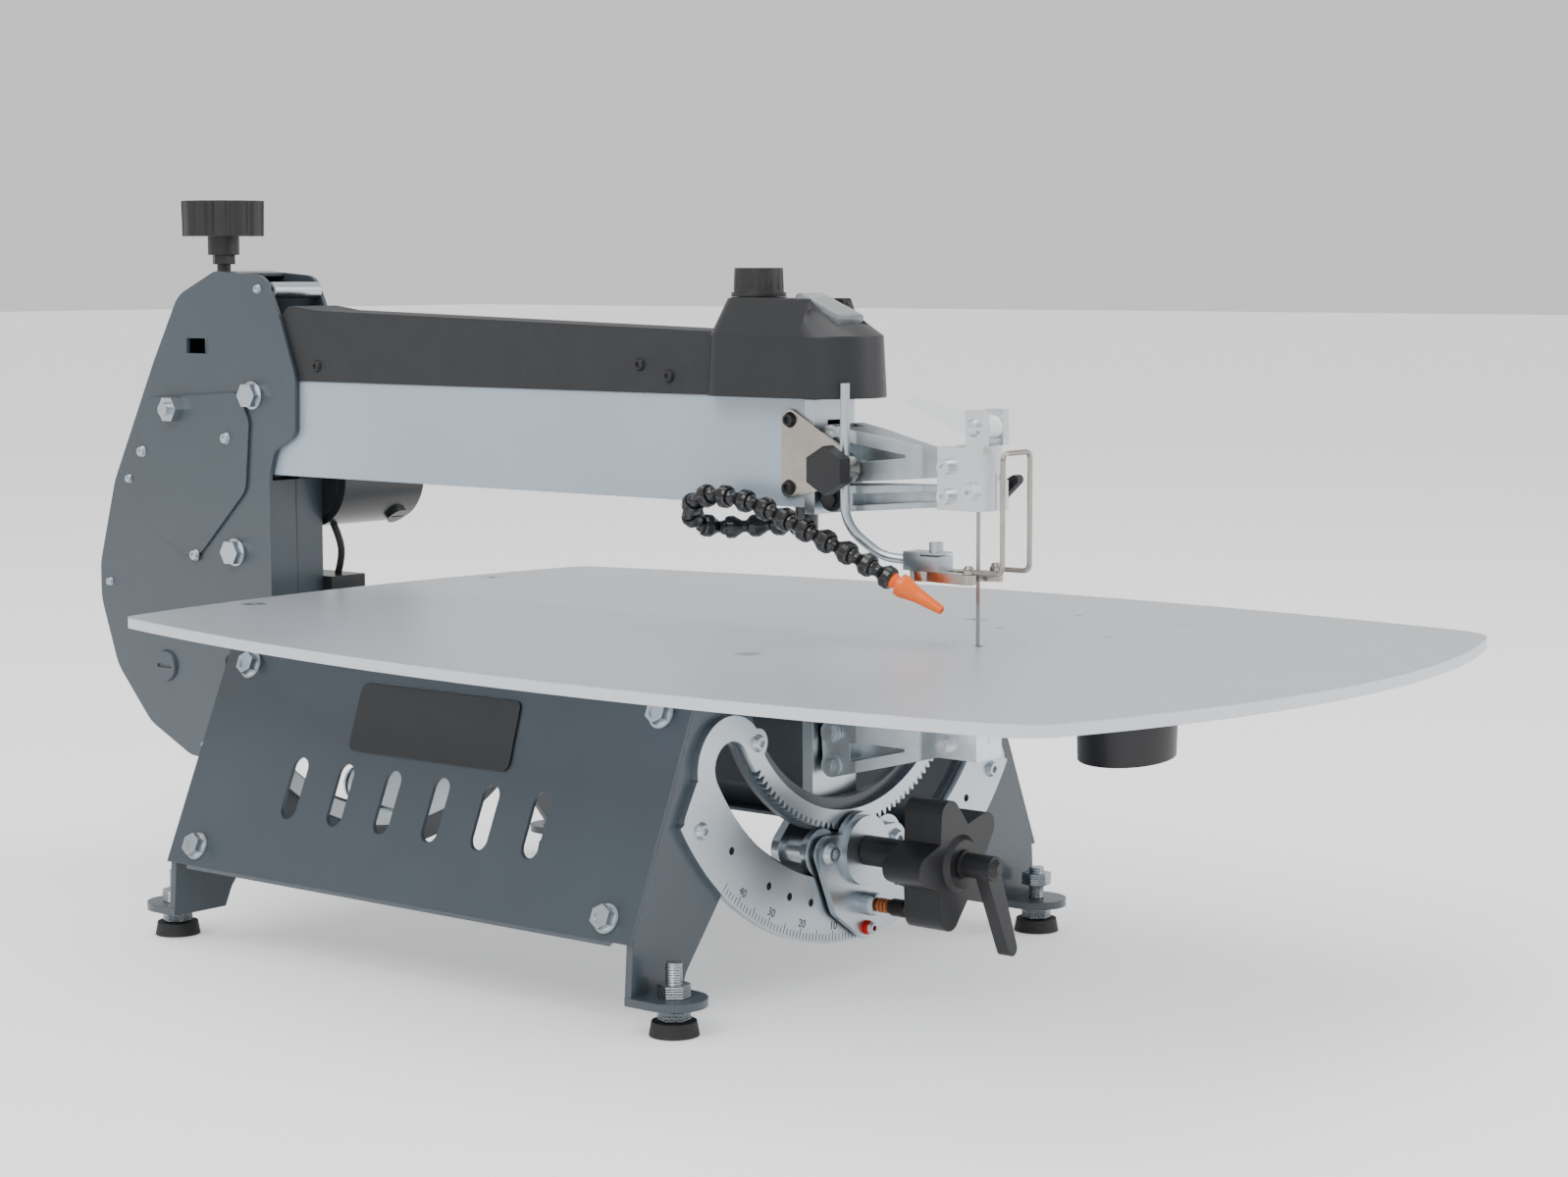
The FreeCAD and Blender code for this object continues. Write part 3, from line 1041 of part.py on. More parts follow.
def make_upper_holder():
    half = HOLDER_HALF
    pivots = (tip_of(UPPER_PIVOT, LINK_RISE), tip_of(UPPER_SLIDE_PIVOT, LINK_RISE))
    body = fuse([box((-half, half), (0, 21), (299, 337)), box((-half, half), (-13, 0), (303, 359.5)),
                 box((-half, half), (-13, 0), (299, 304))])
    blade_gap = BLADE_THICK / 2 + FIT
    tools = [box((-HOLDER_SLOT, HOLDER_SLOT), (6.4, 30), (290, 340)),
             box((-7.3, 7.3), (-20, 0.1), (338, 365)),
             box((-blade_gap, blade_gap), (-20, 2.5), (290, 322)),
             box((2, 20), (-20, -8), (317, 338)),
             disc("x", -6.0, 349.0, TIP_PIN_R, -30, 30),
             disc("x", -3.0, 309.5, SCREW_R + FIT, 0, 30),
             disc("x", -4.0, 310.7, SCREW_R, -30, 0)]
    tools += [disc("x", *spot, TIP_PIN_R, -30, 30) for spot in pivots]
    node("upper_blade_holder", cut(body, tools))
    cam_pin = fuse([disc("x", -6.0, 349.0, TIP_PIN_R, -half, half),
                    button_screw("x", -6.0, 349.0, 5.4, -half, 2.8, -1)])
    jaw = fuse([disc("x", -4.0, 310.7, SCREW_R, -half - 3.5, -BLADE_THICK / 2 - FIT),
                hexagon("x", -4.0, 310.7, 10.0, -half - 4, -half)])
    jaw = jaw.cut(hexagon("x", -4.0, 310.7, 3.0, -half - 5, -half - 1))
    node("upper_blade_holder", group([tip_pins(pivots, half)]))
    node("upper_blade_holder", cam_pin)
    node("upper_blade_holder", jaw)
    cam = hull("x", [(-6.0, 349.0, 7.2), (14, 353.5, 5.5)], -7.0, 7.0)
    handle = hull("x", [(14, 353.5, 5.5), (47, 363, 3.0)], -3.6, 3.6)
    lever = cut(fuse([cam, handle]), [disc("x", -6.0, 349.0, TIP_PIN_R + FIT, -30, 30)])
    node("tension_lever", lever)
    node("upper_thumb_screw", thumb_screw(-3.0, 309.5, half))


def thumb_screw(y, z, half):
    """Screw through the right cheek that pinches the blade; a wing handle outside."""
    stem = disc("x", y, z, SCREW_R, BLADE_THICK / 2 + FIT + 0.05, half + 6)
    collar = disc("x", y, z, 5.5, half + 0.5, half + 7)
    wing = hull("x", [(y - 9, z + 7, 3.0), (y + 3, z - 2, 4.5)], half + 7, half + 13)
    return fuse([stem, collar, wing])


def make_lower_holder():
    half = HOLDER_HALF
    pivots = (LOWER_PIVOT[0] - LINK_Y, LOWER_PIVOT[1]), (LOWER_SLIDE_PIVOT[0] - LINK_Y, LOWER_SLIDE_PIVOT[1])
    body = box((-half, half), (-9, 21), (148, 181.5))
    blade_gap = BLADE_THICK / 2
    tools = [box((-HOLDER_SLOT, HOLDER_SLOT), (6.4, 30), (140, 190)),
             box((-blade_gap, blade_gap), (-20, 1.0), (BLADE_FOOT, 190)),
             box((-20, 20), (-20, -4), (174, 190)),
             disc("x", -2.0, 164.0, SCREW_R + FIT, 0, 30),
             disc("x", -2.0, 164.0, SCREW_R, -30, 0)]
    tools += [disc("x", *spot, TIP_PIN_R, -30, 30) for spot in pivots]
    node("lower_blade_holder", cut(body, tools))
    node("lower_blade_holder", tip_pins(pivots, half))
    jaw = fuse([disc("x", -2.0, 164.0, SCREW_R, -half - 2, -BLADE_THICK / 2),
                hexagon("x", -2.0, 164.0, 10.0, -half - 4, -half)])
    node("lower_blade_holder", jaw)
    node("lower_thumb_screw", thumb_screw(-2.0, 164.0, half))
    node("blade", box((-BLADE_THICK / 2, BLADE_THICK / 2), (BLADE_FRONT, BLADE_FRONT + BLADE_WIDTH),
                      (BLADE_FOOT, BLADE_TOP)))


# ------------------------------------------------------------------ upper arm
def make_upper_arm():
    half, wall = ARM_HALF, ARM_WALL
    beam = box((-half, half), (ARM_FRONT, 700), (ARM_BOTTOM, ARM_TOP))
    post = box((-12, 12), (KNOB_Y - 9, KNOB_Y + 9), (ARM_TOP, KNOB_STUD_TIP - TIP_GAP))
    inner = half - wall
    tools = [box((-inner, inner), (ARM_FRONT - 1, 701), (ARM_BOTTOM + wall, ARM_TOP - wall)),
             box((-inner, inner), (595, 701), (ARM_BOTTOM - 1, ARM_TOP - wall)),
             disc("x", LIFT_Y, LIFT_Z, REAR_EYE_R + TIP_GAP, -inner, inner),
             disc("x", LIFT_Y, LIFT_Z, PIVOT_R + FIT, -30, 30)]
    node("upper_arm_beam", cut(fuse([beam, post]), tools))
    plate = box((-half, half), (ARM_FRONT - BRACKET, ARM_FRONT), (292, ARM_TOP - 1))
    ear = box((inner - 3, inner), (ARM_FRONT, ARM_FRONT + 30), (303, 357))
    lug = box((-LUG_HALF, LUG_HALF), (92, ARM_FRONT - BRACKET), (294, 327))
    bracket = fuse([plate, lug, ear, mirror(ear)])
    tools = [box((-7, 7), (100, 130), (331, 350))]
    tools += [disc("x", *spot, PIN_R, -30, 30) for spot in (UPPER_PIVOT, UPPER_SLIDE_PIVOT)]
    node("upper_arm_bracket", cut(bracket, tools))
    side = [(HEAD_REAR, ARM_TOP), (HEAD_REAR, 404, 3), (560, 414), (588, 417.5, 8), (597, 408, 6), (597, ARM_TOP)]
    inset = [(HEAD_REAR + 2.5, ARM_TOP - 1), (HEAD_REAR + 2.5, 401.5), (560, 411.5),
             (587, 414.5, 4), (594.5, 407), (594.5, ARM_TOP - 1)]
    cover = slab("x", side, -half - 1.5, half + 1.5).cut(slab("x", inset, -half + 1, half - 1))
    node("arm_cover", cover)
    screws = [button_screw("x", y, z, 4.4, -half - 1.5, 2.2, -1) for y, z in ((559, 375), (253, 382), (228, 375))]
    node("upper_arm_fasteners", group(screws + [mirror(s) for s in screws]))
    make_head()
    make_hold_down()
    make_hose()


HEAD_HALF = 35.0
HEAD_FRONT_CENTRE = 113.0
HEAD_REAR = 190.0
DIAL_Y = 171.0


def head_wire(z, inset, front, rear, corner):
    """Plan of the head cover: round at the front, square with soft corners at the back."""
    half = HEAD_HALF - inset
    nose = HEAD_FRONT_CENTRE
    a, b = V(-half, nose, z), V(half, nose, z)
    edges = [Part.Arc(a, V(0, front, z), b).toShape()]
    run = math.sqrt(0.5) * corner
    edges.append(Part.LineSegment(b, V(half, rear - corner, z)).toShape())
    edges.append(Part.Arc(V(half, rear - corner, z), V(half - corner + run, rear - corner + run, z),
                          V(half - corner, rear, z)).toShape())
    edges.append(Part.LineSegment(V(half - corner, rear, z), V(-half + corner, rear, z)).toShape())
    edges.append(Part.Arc(V(-half + corner, rear, z), V(-half + corner - run, rear - corner + run, z),
                          V(-half, rear - corner, z)).toShape())
    edges.append(Part.LineSegment(V(-half, rear - corner, z), a).toShape())
    return Part.Wire(edges)


def head_shell(shrink):
    front = HEAD_FRONT_CENTRE - HEAD_HALF + shrink
    rear = HEAD_REAR - shrink
    skirt = Part.makeLoft([head_wire(ARM_TOP - (1 if shrink else 0), shrink, front, rear, 12.0),
                           head_wire(402 - shrink, shrink + 2, front + 2, rear - 1, 11.0)], True, True)
    dome = Part.makeLoft([head_wire(402 - shrink, shrink + 2, front + 2, rear - 1, 11.0),
                          head_wire(425 - shrink, shrink + 15, front + 42, rear - 5, 10.0)], True, True)
    return skirt.fuse(dome)


SWITCH_LEAN = math.radians(23.0)
SWITCH_AT = V(0, 116.0, 414.5)


def lean_switch(shape):
    shape = shape.copy()
    shape.rotate(V(0, 0, 0), V(1, 0, 0), math.degrees(SWITCH_LEAN))
    shape.translate(SWITCH_AT)
    return shape


def make_head():
    shell = head_shell(0.0).cut(head_shell(2.5))
    boss = disc("z", 0, DIAL_Y, 18.0, 418.0, 425.6)
    seat = lean_switch(box((-15, 15), (-22, 22), (-12, 0)))
    hollow = lean_switch(box((-12.5, 12.5), (-19.5, 19.5), (-13, 1)))
    above = lean_switch(box((-15.2, 15.2), (-22.2, 22.2), (0, 30)))
    tools = [hollow, above, disc("z", 0, DIAL_Y, 3.0 + RUN_CLEAR, 400, 440), disc("z", 0, DIAL_Y, 15.0, 400, 421)]
    node("head_cover", cut(fuse([shell, boss, seat]), tools))
    rim = lean_switch(box((-14, 14), (-21, 21), (0, 1.6)))
    well = lean_switch(box((-12.5, 12.5), (-19.5, 19.5), (-12, 0)))
    bezel = fuse([rim, well])
    pocket = lean_switch(box((-9.4, 9.4), (-15.4, 15.4), (-10, 3)))
    node("switch_bezel", cut(bezel, [pocket]))
    key = slab("x", [(-14.6, -1), (-14.2, 4.6, 1), (0, 2.4, 40), (14.2, 4.6, 1), (14.6, -1), (0, -3.4)], -8.8, 8.8)
    node("switch_rocker", lean_switch(key))
    boot = box((-12.4, 12.4), (-18.4, 18.4), (1.6, 8.4))
    boot = boot.makeFillet(3.0, [e for e in boot.Edges if e.BoundBox.ZMin > 5])
    node("switch_bezel", lean_switch(boot.cut(box((-11.4, 11.4), (-17.4, 17.4), (0, 7.4)))))
    low = 425.9
    knob = fuse([disc("z", 0, DIAL_Y, 17.5, low, low + 2.6), cone("z", 0, DIAL_Y, 16.0, 15.4, low + 2.6, low + 18)])
    ribs = []
    for i in range(16):
        angle = math.radians(22.5 * i)
        ribs.append(disc("z", 16.9 * math.cos(angle), DIAL_Y + 16.9 * math.sin(angle), 1.6, low + 4.5, low + 17))
    knob = cut(knob, ribs)
    node("speed_knob", fuse([knob, disc("z", 0, DIAL_Y, 3.0, 412, low)]))


def make_tension_knob():
    z0 = 467.0
    count = 12
    core = cone("z", 0, KNOB_Y, 29.5, 30.0, z0, z0 + 25.7)
    scoops = []
    for i in range(count):
        angle = math.radians(360.0 / count * i)
        scoops.append(disc("z", 32.5 * math.cos(angle), KNOB_Y + 32.5 * math.sin(angle), 4.6, z0 - 1, z0 + 26))
    dish = cone("z", 0, KNOB_Y, 18.0, 20.0, z0 + 23.4, z0 + 26)
    core = cut(core, scoops + [dish])
    node("tension_knob", fuse([core, disc("z", 0, KNOB_Y, 11.5, 453.4, z0)]).cut(
        disc("z", 0, KNOB_Y, KNOB_STUD_R, 453, 470)))
    node("tension_knob", disc("z", 0, KNOB_Y, KNOB_STUD_R, KNOB_STUD_TIP, 470))
    nut = hexagon("z", 0, KNOB_Y, 15.0, 446.6, 453.4)
    node("tension_knob", nut.cut(disc("z", 0, KNOB_Y, KNOB_STUD_R, 440, 460)))


# ------------------------------------------------------------------ hold-down
def make_hold_down():
    face = -ARM_HALF
    spots = ((128.0, 350.2), (128.7, 308.1))
    plate = hull("x", [(*spots[0], 6.5), (*spots[1], 6.5), (HOLD_Y + 2, HOLD_Z, 9.5)], face - 2, face)
    plate = cut(plate, [disc("x", HOLD_Y, HOLD_Z, 4.0, face - 3, face + 1)])
    node("hold_down_mount", plate)
    node("upper_arm_fasteners", group([button_screw("x", *spot, 5.0, face - 2, 3.0, -1) for spot in spots]))
    collar = fuse([disc("x", HOLD_Y, HOLD_Z, 9.0, face - 14, face - 2),
                   disc("x", HOLD_Y, HOLD_Z, 4.0, face - 2, face + 3)])
    bores = [disc("z", HOLD_X, HOLD_Y, HOLD_ROD_R + FIT, 300, 340),
             disc("x", HOLD_Y, HOLD_Z, SCREW_R + FIT, face - 20, HOLD_X)]
    node("hold_down_mount", cut(collar, bores))
    knob = fuse([hexagon("x", HOLD_Y, HOLD_Z, 26.0, face - 27, face - 17, 30.0),
                 disc("x", HOLD_Y, HOLD_Z, 7.0, face - 17, face - 14.4),
                 disc("x", HOLD_Y, HOLD_Z, SCREW_R, face - 14.4, HOLD_X - HOLD_ROD_R - 0.3)])
    node("hold_down_knob", knob)
    rod = lead([V(HOLD_X, HOLD_Y, 374), V(HOLD_X, HOLD_Y, 287), V(-16, 60, 268.5), V(-10, 44, 267),
                V(-7, 32, 266)], HOLD_ROD_R)
    block = box((-14, 2), (20, 46), (261, 272.5))
    pinch = box((-16, 4), (19, 47), (270.2, 271.2)).cut(box((-16, 4), (33, 47), (270, 272)))
    node("hold_down_rod", rod)
    node("hold_down_rod", cut(block, [rod, pinch, disc("z", -7, 26, 2.6, 262, 280)]))
    screw = fuse([disc("z", -7, 26, 4.4, 272.5, 278.5), disc("z", -7, 26, 2.6, 270.5, 272.5)])
    node("hold_down_rod", screw.cut(hexagon("z", -7, 26, 4.0, 275.5, 280)))
    prongs = [hull("z", [(GUARD_X, -3.4, 4.4), (4, 30, 6)], 255, 261),
              hull("z", [(-GUARD_X, -3.4, 4.4), (-8, 30, 6)], 255, 261),
              hull("z", [(4, 34, 9), (-8, 34, 9)], 255, 261)]
    foot = fuse(prongs)
    rivets = [disc("z", s * GUARD_X, -3.4, 1.7, 261, 265.6) for s in (-1, 1)]
    heads = [cone("z", s * GUARD_X, -3.4, 3.4, 2.2, 264.4, 266.2) for s in (-1, 1)]
    node("blade_guard", foot)
    eyes = [ring("z", s * GUARD_X, -3.4, 3.8, 1.7, 261.3, 263.9) for s in (-1, 1)]
    node("blade_guard", group([fuse([r, h]) for r, h in zip(rivets, heads)]))
    node("blade_guard", group([guard_wire()] + eyes))


def guard_wire():
    z = 261 + GUARD_WIRE_R
    points = [V(-GUARD_X, -7.2, z), V(-GUARD_X, -28, z), V(-GUARD_X, -28, 334.5), V(GUARD_X, -28, 334.5),
              V(GUARD_X, -28, z), V(GUARD_X, -7.2, z)]
    edges = []
    bend = 4.5
    start = points[0]
    for back, here, ahead in zip(points, points[1:], points[2:]):
        one = (back - here).normalize()
        two = (ahead - here).normalize()
        middle = here + (one + two).normalize() * (bend * (math.sqrt(2) - 1))
        edges.append(Part.LineSegment(start, here + one * bend).toShape())
        edges.append(Part.Arc(here + one * bend, middle, here + two * bend).toShape())
        start = here + two * bend
    edges.append(Part.LineSegment(start, points[-1]).toShape())
    circle = Part.Wire([Part.makeCircle(GUARD_WIRE_R, points[0], V(0, -1, 0))])
    return Part.Wire(edges).makePipeShell([circle], True, False)


# ------------------------------------------------------------------ air hose
def turned(profile):
    """Solid of revolution about Z with profile points (height, radius)."""
    outline = [V(r, 0, d) for d, r in profile]
    face = Part.Face(Part.makePolygon(outline + [outline[0]]))
    solid = face.revolve(V(0, 0, 0), V(0, 0, 1), 360)
    return Part.Solid(solid) if solid.ShapeType != "Solid" else solid


def aimed(solid, start, end):
    """A shape made along Z from the origin, moved to point from start to end."""
    solid = solid.copy()
    solid.Placement = FreeCAD.Placement(start, FreeCAD.Rotation(V(0, 0, 1), end - start))
    return solid


def bead(start, end):
    """One hose bead: a ball at the start and a socket for the next ball at the end."""
    length = (end - start).Length
    profile = [(0, 0), (0, 3.9), (5.2, 3.9), (6.4, 4.6), (length - 5.5, BEAD_R), (length - 1.6, BEAD_R),
               (length, BEAD_R - 0.8), (length, 0)]
    body = fuse([turned(profile), Part.makeSphere(BALL_R)])
    return aimed(body.cut(Part.makeSphere(BALL_R + BALL_CLEAR, V(0, 0, length))), start, end)


def make_hose():
    spots = [V(*p) for p in HOSE]
    first = spots[0]
    riser = fuse([disc("z", first.x, first.y - 9, 7.6, first.z - 8, ARM_BOTTOM),
                  disc("y", first.x, first.z, BEAD_R, first.y - 9, first.y)])
    node("hose_base", riser.cut(Part.makeSphere(BALL_R + BALL_CLEAR, first)))
    beads = [bead(a, b) for a, b in zip(spots, spots[1:])]
    node("hose_base", group(beads[:HOSE_MID]))
    node("hose_middle", group(beads[HOSE_MID:HOSE_TIP]))
    node("hose_tip", group(beads[HOSE_TIP:]))
    start, tip = spots[-1], V(*NOZZLE_TIP)
    length = (tip - start).Length
    profile = [(0, 0), (0, 3.9), (4.6, 3.9), (5.4, 7.2), (8.5, 7.2), (length * 0.5, 4.6), (length, 2.7), (length, 0)]
    nozzle = fuse([turned(profile), Part.makeSphere(BALL_R)])
    bore = Part.makeCylinder(NOZZLE_BORE_R, NOZZLE_BORE_DEPTH, V(0, 0, length), V(0, 0, -1))
    node("air_nozzle", aimed(nozzle.cut(bore), start, tip))


# ------------------------------------------------------------------ all
def main():
    make_base()
    make_column()
    make_lower_arm()
    make_tilt()
    make_motor()
    make_rear_rocker()
    make_links()
    make_upper_holder()
    make_lower_holder()
    make_upper_arm()
    make_tension_knob()
    os.makedirs("parts", exist_ok=True)
    for name, solids in NODES.items():
        shape = solids[0] if len(solids) == 1 else group(solids)
        shape = shape.copy()
        shape.translate(V(0, -Y_MID, -FLOOR))
        shape.scale(UNIT)
        shape.exportStep("parts/" + name + ".step")
        print(name, len(solids), round(shape.Volume), "ok" if shape.isValid() else "INVALID")
    print(len(NODES), "nodes")


main()
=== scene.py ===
# %% [markdown]
# # Bench scroll saw
# This lesson dresses a scroll saw that already exists as precise metal parts.

# %% Load the frame
import math

import bpy
from mathutils import Matrix, Vector


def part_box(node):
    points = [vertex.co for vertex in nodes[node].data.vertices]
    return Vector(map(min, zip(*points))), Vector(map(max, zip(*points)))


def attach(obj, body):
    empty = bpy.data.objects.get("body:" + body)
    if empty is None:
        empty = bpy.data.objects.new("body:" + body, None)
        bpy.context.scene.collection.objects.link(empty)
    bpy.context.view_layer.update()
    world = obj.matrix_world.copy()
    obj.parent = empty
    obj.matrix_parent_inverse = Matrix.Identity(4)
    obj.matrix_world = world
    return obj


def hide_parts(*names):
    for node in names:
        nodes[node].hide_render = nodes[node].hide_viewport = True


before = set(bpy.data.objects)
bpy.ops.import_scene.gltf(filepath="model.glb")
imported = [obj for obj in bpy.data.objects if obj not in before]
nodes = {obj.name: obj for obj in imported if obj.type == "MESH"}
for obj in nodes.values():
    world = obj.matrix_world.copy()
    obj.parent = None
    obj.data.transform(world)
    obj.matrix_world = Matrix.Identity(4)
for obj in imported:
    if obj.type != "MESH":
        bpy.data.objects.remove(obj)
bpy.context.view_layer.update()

# Lengths below are written as drawn, and UNIT brings them to the size of the parts.
DRAWN_TABLE_HEIGHT = 0.2165
TABLE_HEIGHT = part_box("table")[1][2]
UNIT = TABLE_HEIGHT / DRAWN_TABLE_HEIGHT
print("parts loaded:", len(nodes))

# %% [markdown]
# ## Selection and small helpers
# An operator works on everything that is selected, and loading leaves every part selected. So each
# new piece starts by clearing the selection, and ends with its place baked into its mesh.


# %% Helpers
def clear_selection():
    if bpy.context.object and bpy.context.object.mode != "OBJECT":
        bpy.ops.object.mode_set(mode="OBJECT")
    bpy.ops.object.select_all(action="DESELECT")


def settle(piece):
    """Moves the piece's place, turn and size into its mesh."""
    clear_selection()
    piece.select_set(True)
    bpy.context.view_layer.objects.active = piece
    bpy.ops.object.transform_apply(location=True, rotation=True, scale=True)
    return piece


def join(pieces, name):
    clear_selection()
    for piece in pieces:
        piece.select_set(True)
    bpy.context.view_layer.objects.active = pieces[0]
    if len(pieces) > 1:
        bpy.ops.object.join()
    whole = bpy.context.view_layer.objects.active
    whole.name = name
    whole.data.name = name
    return settle(whole)


# %% [markdown]
# ## The camera and the studio
# A catalogue picture has a white sweep under the machine and very large soft lights, so shadows are
# faint and metal shows broad, calm reflections. Area lamps with a big size do this.

# %% Camera
CAMERA_AT = Vector((-1.5241, -1.36345, 0.4472)) * UNIT
CAMERA_TURN = 0.8854
CAMERA_PITCH = 0.1040
CAMERA_ROLL = -0.0017
LENS_LENGTH = 71.73
SENSOR_WIDTH = 36.0
look = Vector((math.sin(CAMERA_TURN) * math.cos(CAMERA_PITCH),
               math.cos(CAMERA_TURN) * math.cos(CAMERA_PITCH),
               -math.sin(CAMERA_PITCH)))
lens = bpy.data.cameras.new("camera")
lens.lens = LENS_LENGTH
lens.sensor_width = SENSOR_WIDTH
lens.sensor_fit = "HORIZONTAL"
lens.clip_end = 60.0
camera = bpy.data.objects.new("camera", lens)
bpy.context.scene.collection.objects.link(camera)
camera.matrix_world = (Matrix.Translation(CAMERA_AT) @ look.to_track_quat("-Z", "Y").to_matrix().to_4x4()
                       @ Matrix.Rotation(CAMERA_ROLL, 4, "Z"))
bpy.context.scene.camera = camera
print("camera at", [round(v, 3) for v in camera.location])

# %% Sweep and lamps
FLOOR_SIZE = 40.0
FLOOR_DROP = 0.0005
clear_selection()
bpy.ops.mesh.primitive_plane_add(size=FLOOR_SIZE, location=(0, 0, -FLOOR_DROP))
floor = bpy.context.object
floor.name = "floor"
settle(floor)
floor_finish = bpy.data.materials.new("floor_white")
floor_finish.use_nodes = True
floor_shader = floor_finish.node_tree.nodes["Principled BSDF"]
floor_shader.inputs["Base Color"].default_value = (0.93, 0.93, 0.935, 1)
floor_shader.inputs["Roughness"].default_value = 0.75
floor_shader.inputs["Specular IOR Level"].default_value = 0.2
floor_shader.inputs["Emission Color"].default_value = (1.0, 1.0, 1.0, 1)
floor_shader.inputs["Emission Strength"].default_value = 0.45
floor.data.materials.append(floor_finish)


def soft_lamp(name, place, target, width, power):
    lamp = bpy.data.lights.new(name, "AREA")
    lamp.shape = "SQUARE"
    lamp.size = width
    lamp.energy = power
    holder = bpy.data.objects.new(name, lamp)
    holder.location = place
    holder.rotation_euler = (Vector(target) - Vector(place)).to_track_quat("-Z", "Y").to_euler()
    bpy.context.scene.collection.objects.link(holder)
    return holder


soft_lamp("key", (-2.2, -0.6, 2.4), (0, 0, 0.2), 1.8, 48)
soft_lamp("top", (0.2, 0.3, 3.0), (0, 0, 0), 2.6, 42)
soft_lamp("right", (1.6, -2.4, 1.5), (0, 0, 0.2), 1.6, 26)

sky = bpy.data.worlds.new("studio")
bpy.context.scene.world = sky
sky.use_nodes = True
sky.node_tree.nodes["Background"].inputs["Color"].default_value = (1.0, 1.0, 1.0, 1)
sky.node_tree.nodes["Background"].inputs["Strength"].default_value = 0.85

# %% [markdown]
# ## How a finish is built
# Every real finish varies a little: paint has orange peel, ground metal has fine lines, zinc plate
# is blotchy. One recipe covers them: a base colour pushed lighter and darker by noise, a roughness
# that wanders, and a fine bump. The last input is a rounded-edge normal, because real sheet edges
# are never razor sharp, and the light they catch is what makes a part look solid.


# %% Finish recipe
def colour(red, green, blue):
    """A colour given as a screen shows it, 0 to 255, as the linear one the shader needs."""
    def linear(value):
        value = value / 255.0
        return value / 12.92 if value <= 0.04045 else ((value + 0.055) / 1.055) ** 2.4
    return (linear(red), linear(green), linear(blue), 1.0)


def scaled(rgba, gain):
    return tuple(min(1.0, channel * gain) for channel in rgba[:3]) + (1.0,)


class Finish:
    """A node material, with short calls for the nodes that the finishes share."""

    def __init__(self, name):
        self.material = bpy.data.materials.new(name)
        self.material.use_nodes = True
        self.tree = self.material.node_tree
        self.shader = self.tree.nodes["Principled BSDF"]
        self.place = self.tree.nodes.new("ShaderNodeTexCoord").outputs["Object"]

    def link(self, source, target):
        self.tree.links.new(source, target)
        return target

    def node(self, kind, **values):
        made = self.tree.nodes.new(kind)
        for key, value in values.items():
            setattr(made, key, value)
        return made

    def stretched(self, scale):
        mapping = self.node("ShaderNodeMapping")
        mapping.inputs["Scale"].default_value = scale
        self.link(self.place, mapping.inputs["Vector"])
        return mapping.outputs["Vector"]

    def noise(self, size, detail=3.0, scale=(1, 1, 1)):
        made = self.node("ShaderNodeTexNoise")
        made.inputs["Scale"].default_value = 1.0 / size
        made.inputs["Detail"].default_value = detail
        self.link(self.stretched(scale), made.inputs["Vector"])
        return made.outputs["Fac"]

    def spread(self, source, low, high, start=0.3, end=0.7):
        made = self.node("ShaderNodeMapRange")
        made.inputs["From Min"].default_value = start
        made.inputs["From Max"].default_value = end
        made.inputs["To Min"].default_value = low
        made.inputs["To Max"].default_value = high
        self.link(source, made.inputs["Value"])
        return made.outputs["Result"]

    def blend(self, amount, one, two):
        made = self.node("ShaderNodeMix", data_type="RGBA")
        for socket, value in ((made.inputs[6], one), (made.inputs[7], two)):
            if isinstance(value, tuple):
                socket.default_value = value
            else:
                self.link(value, socket)
        self.link(amount, made.inputs["Factor"])
        return made.outputs[2]

    def sum(self, operation, one, two=0.0):
        made = self.node("ShaderNodeMath", operation=operation)
        for socket, value in zip(made.inputs, (one, two)):
            if isinstance(value, (int, float)):
                socket.default_value = value
            else:
                self.link(value, socket)
        return made.outputs[0]

    def bump(self, height, depth, edge):
        rounded = self.node("ShaderNodeBevel", samples=4)
        rounded.inputs["Radius"].default_value = edge
        made = self.node("ShaderNodeBump")
        made.inputs["Strength"].default_value = 1.0
        made.inputs["Distance"].default_value = depth
        self.link(height, made.inputs["Height"])
        self.link(rounded.outputs["Normal"], made.inputs["Normal"])
        self.link(made.outputs["Normal"], self.shader.inputs["Normal"])

    def axis(self, name):
        made = self.node("ShaderNodeSeparateXYZ")
        self.link(self.place, made.inputs[0])
        return made.outputs[name]


def finish(name, base, metal, rough, blotch=0.06, blotch_size=0.03, grain=0.0012, depth=0.00002,
           lines=(1, 1, 1), edge=0.0005, wander=0.06, coat=0.0, patches=()):
    """The shared recipe. patches are (place, radius, colour) for a small part in another colour."""
    made = Finish(name)
    hue = made.blend(made.spread(made.noise(blotch_size), 0.0, 1.0),
                     scaled(base, 1.0 - blotch), scaled(base, 1.0 + blotch))
    for place, radius, patch in patches:
        away = made.node("ShaderNodeVectorMath", operation="DISTANCE")
        away.inputs[1].default_value = place
        made.link(made.place, away.inputs[0])
        hue = made.blend(made.sum("LESS_THAN", away.outputs["Value"], radius), hue, patch)
    made.link(hue, made.shader.inputs["Base Color"])
    made.shader.inputs["Metallic"].default_value = metal
    made.shader.inputs["Coat Weight"].default_value = coat
    made.shader.inputs["Coat Roughness"].default_value = 0.15
    fine = made.noise(grain, 4.0, lines)
    made.link(made.spread(fine, rough - wander, rough + wander), made.shader.inputs["Roughness"])
    made.bump(fine, depth, edge)
    return made


def dress(made, *names):
    for name in names:
        slots = nodes[name].data.materials
        slots.clear()
        slots.append(made.material)


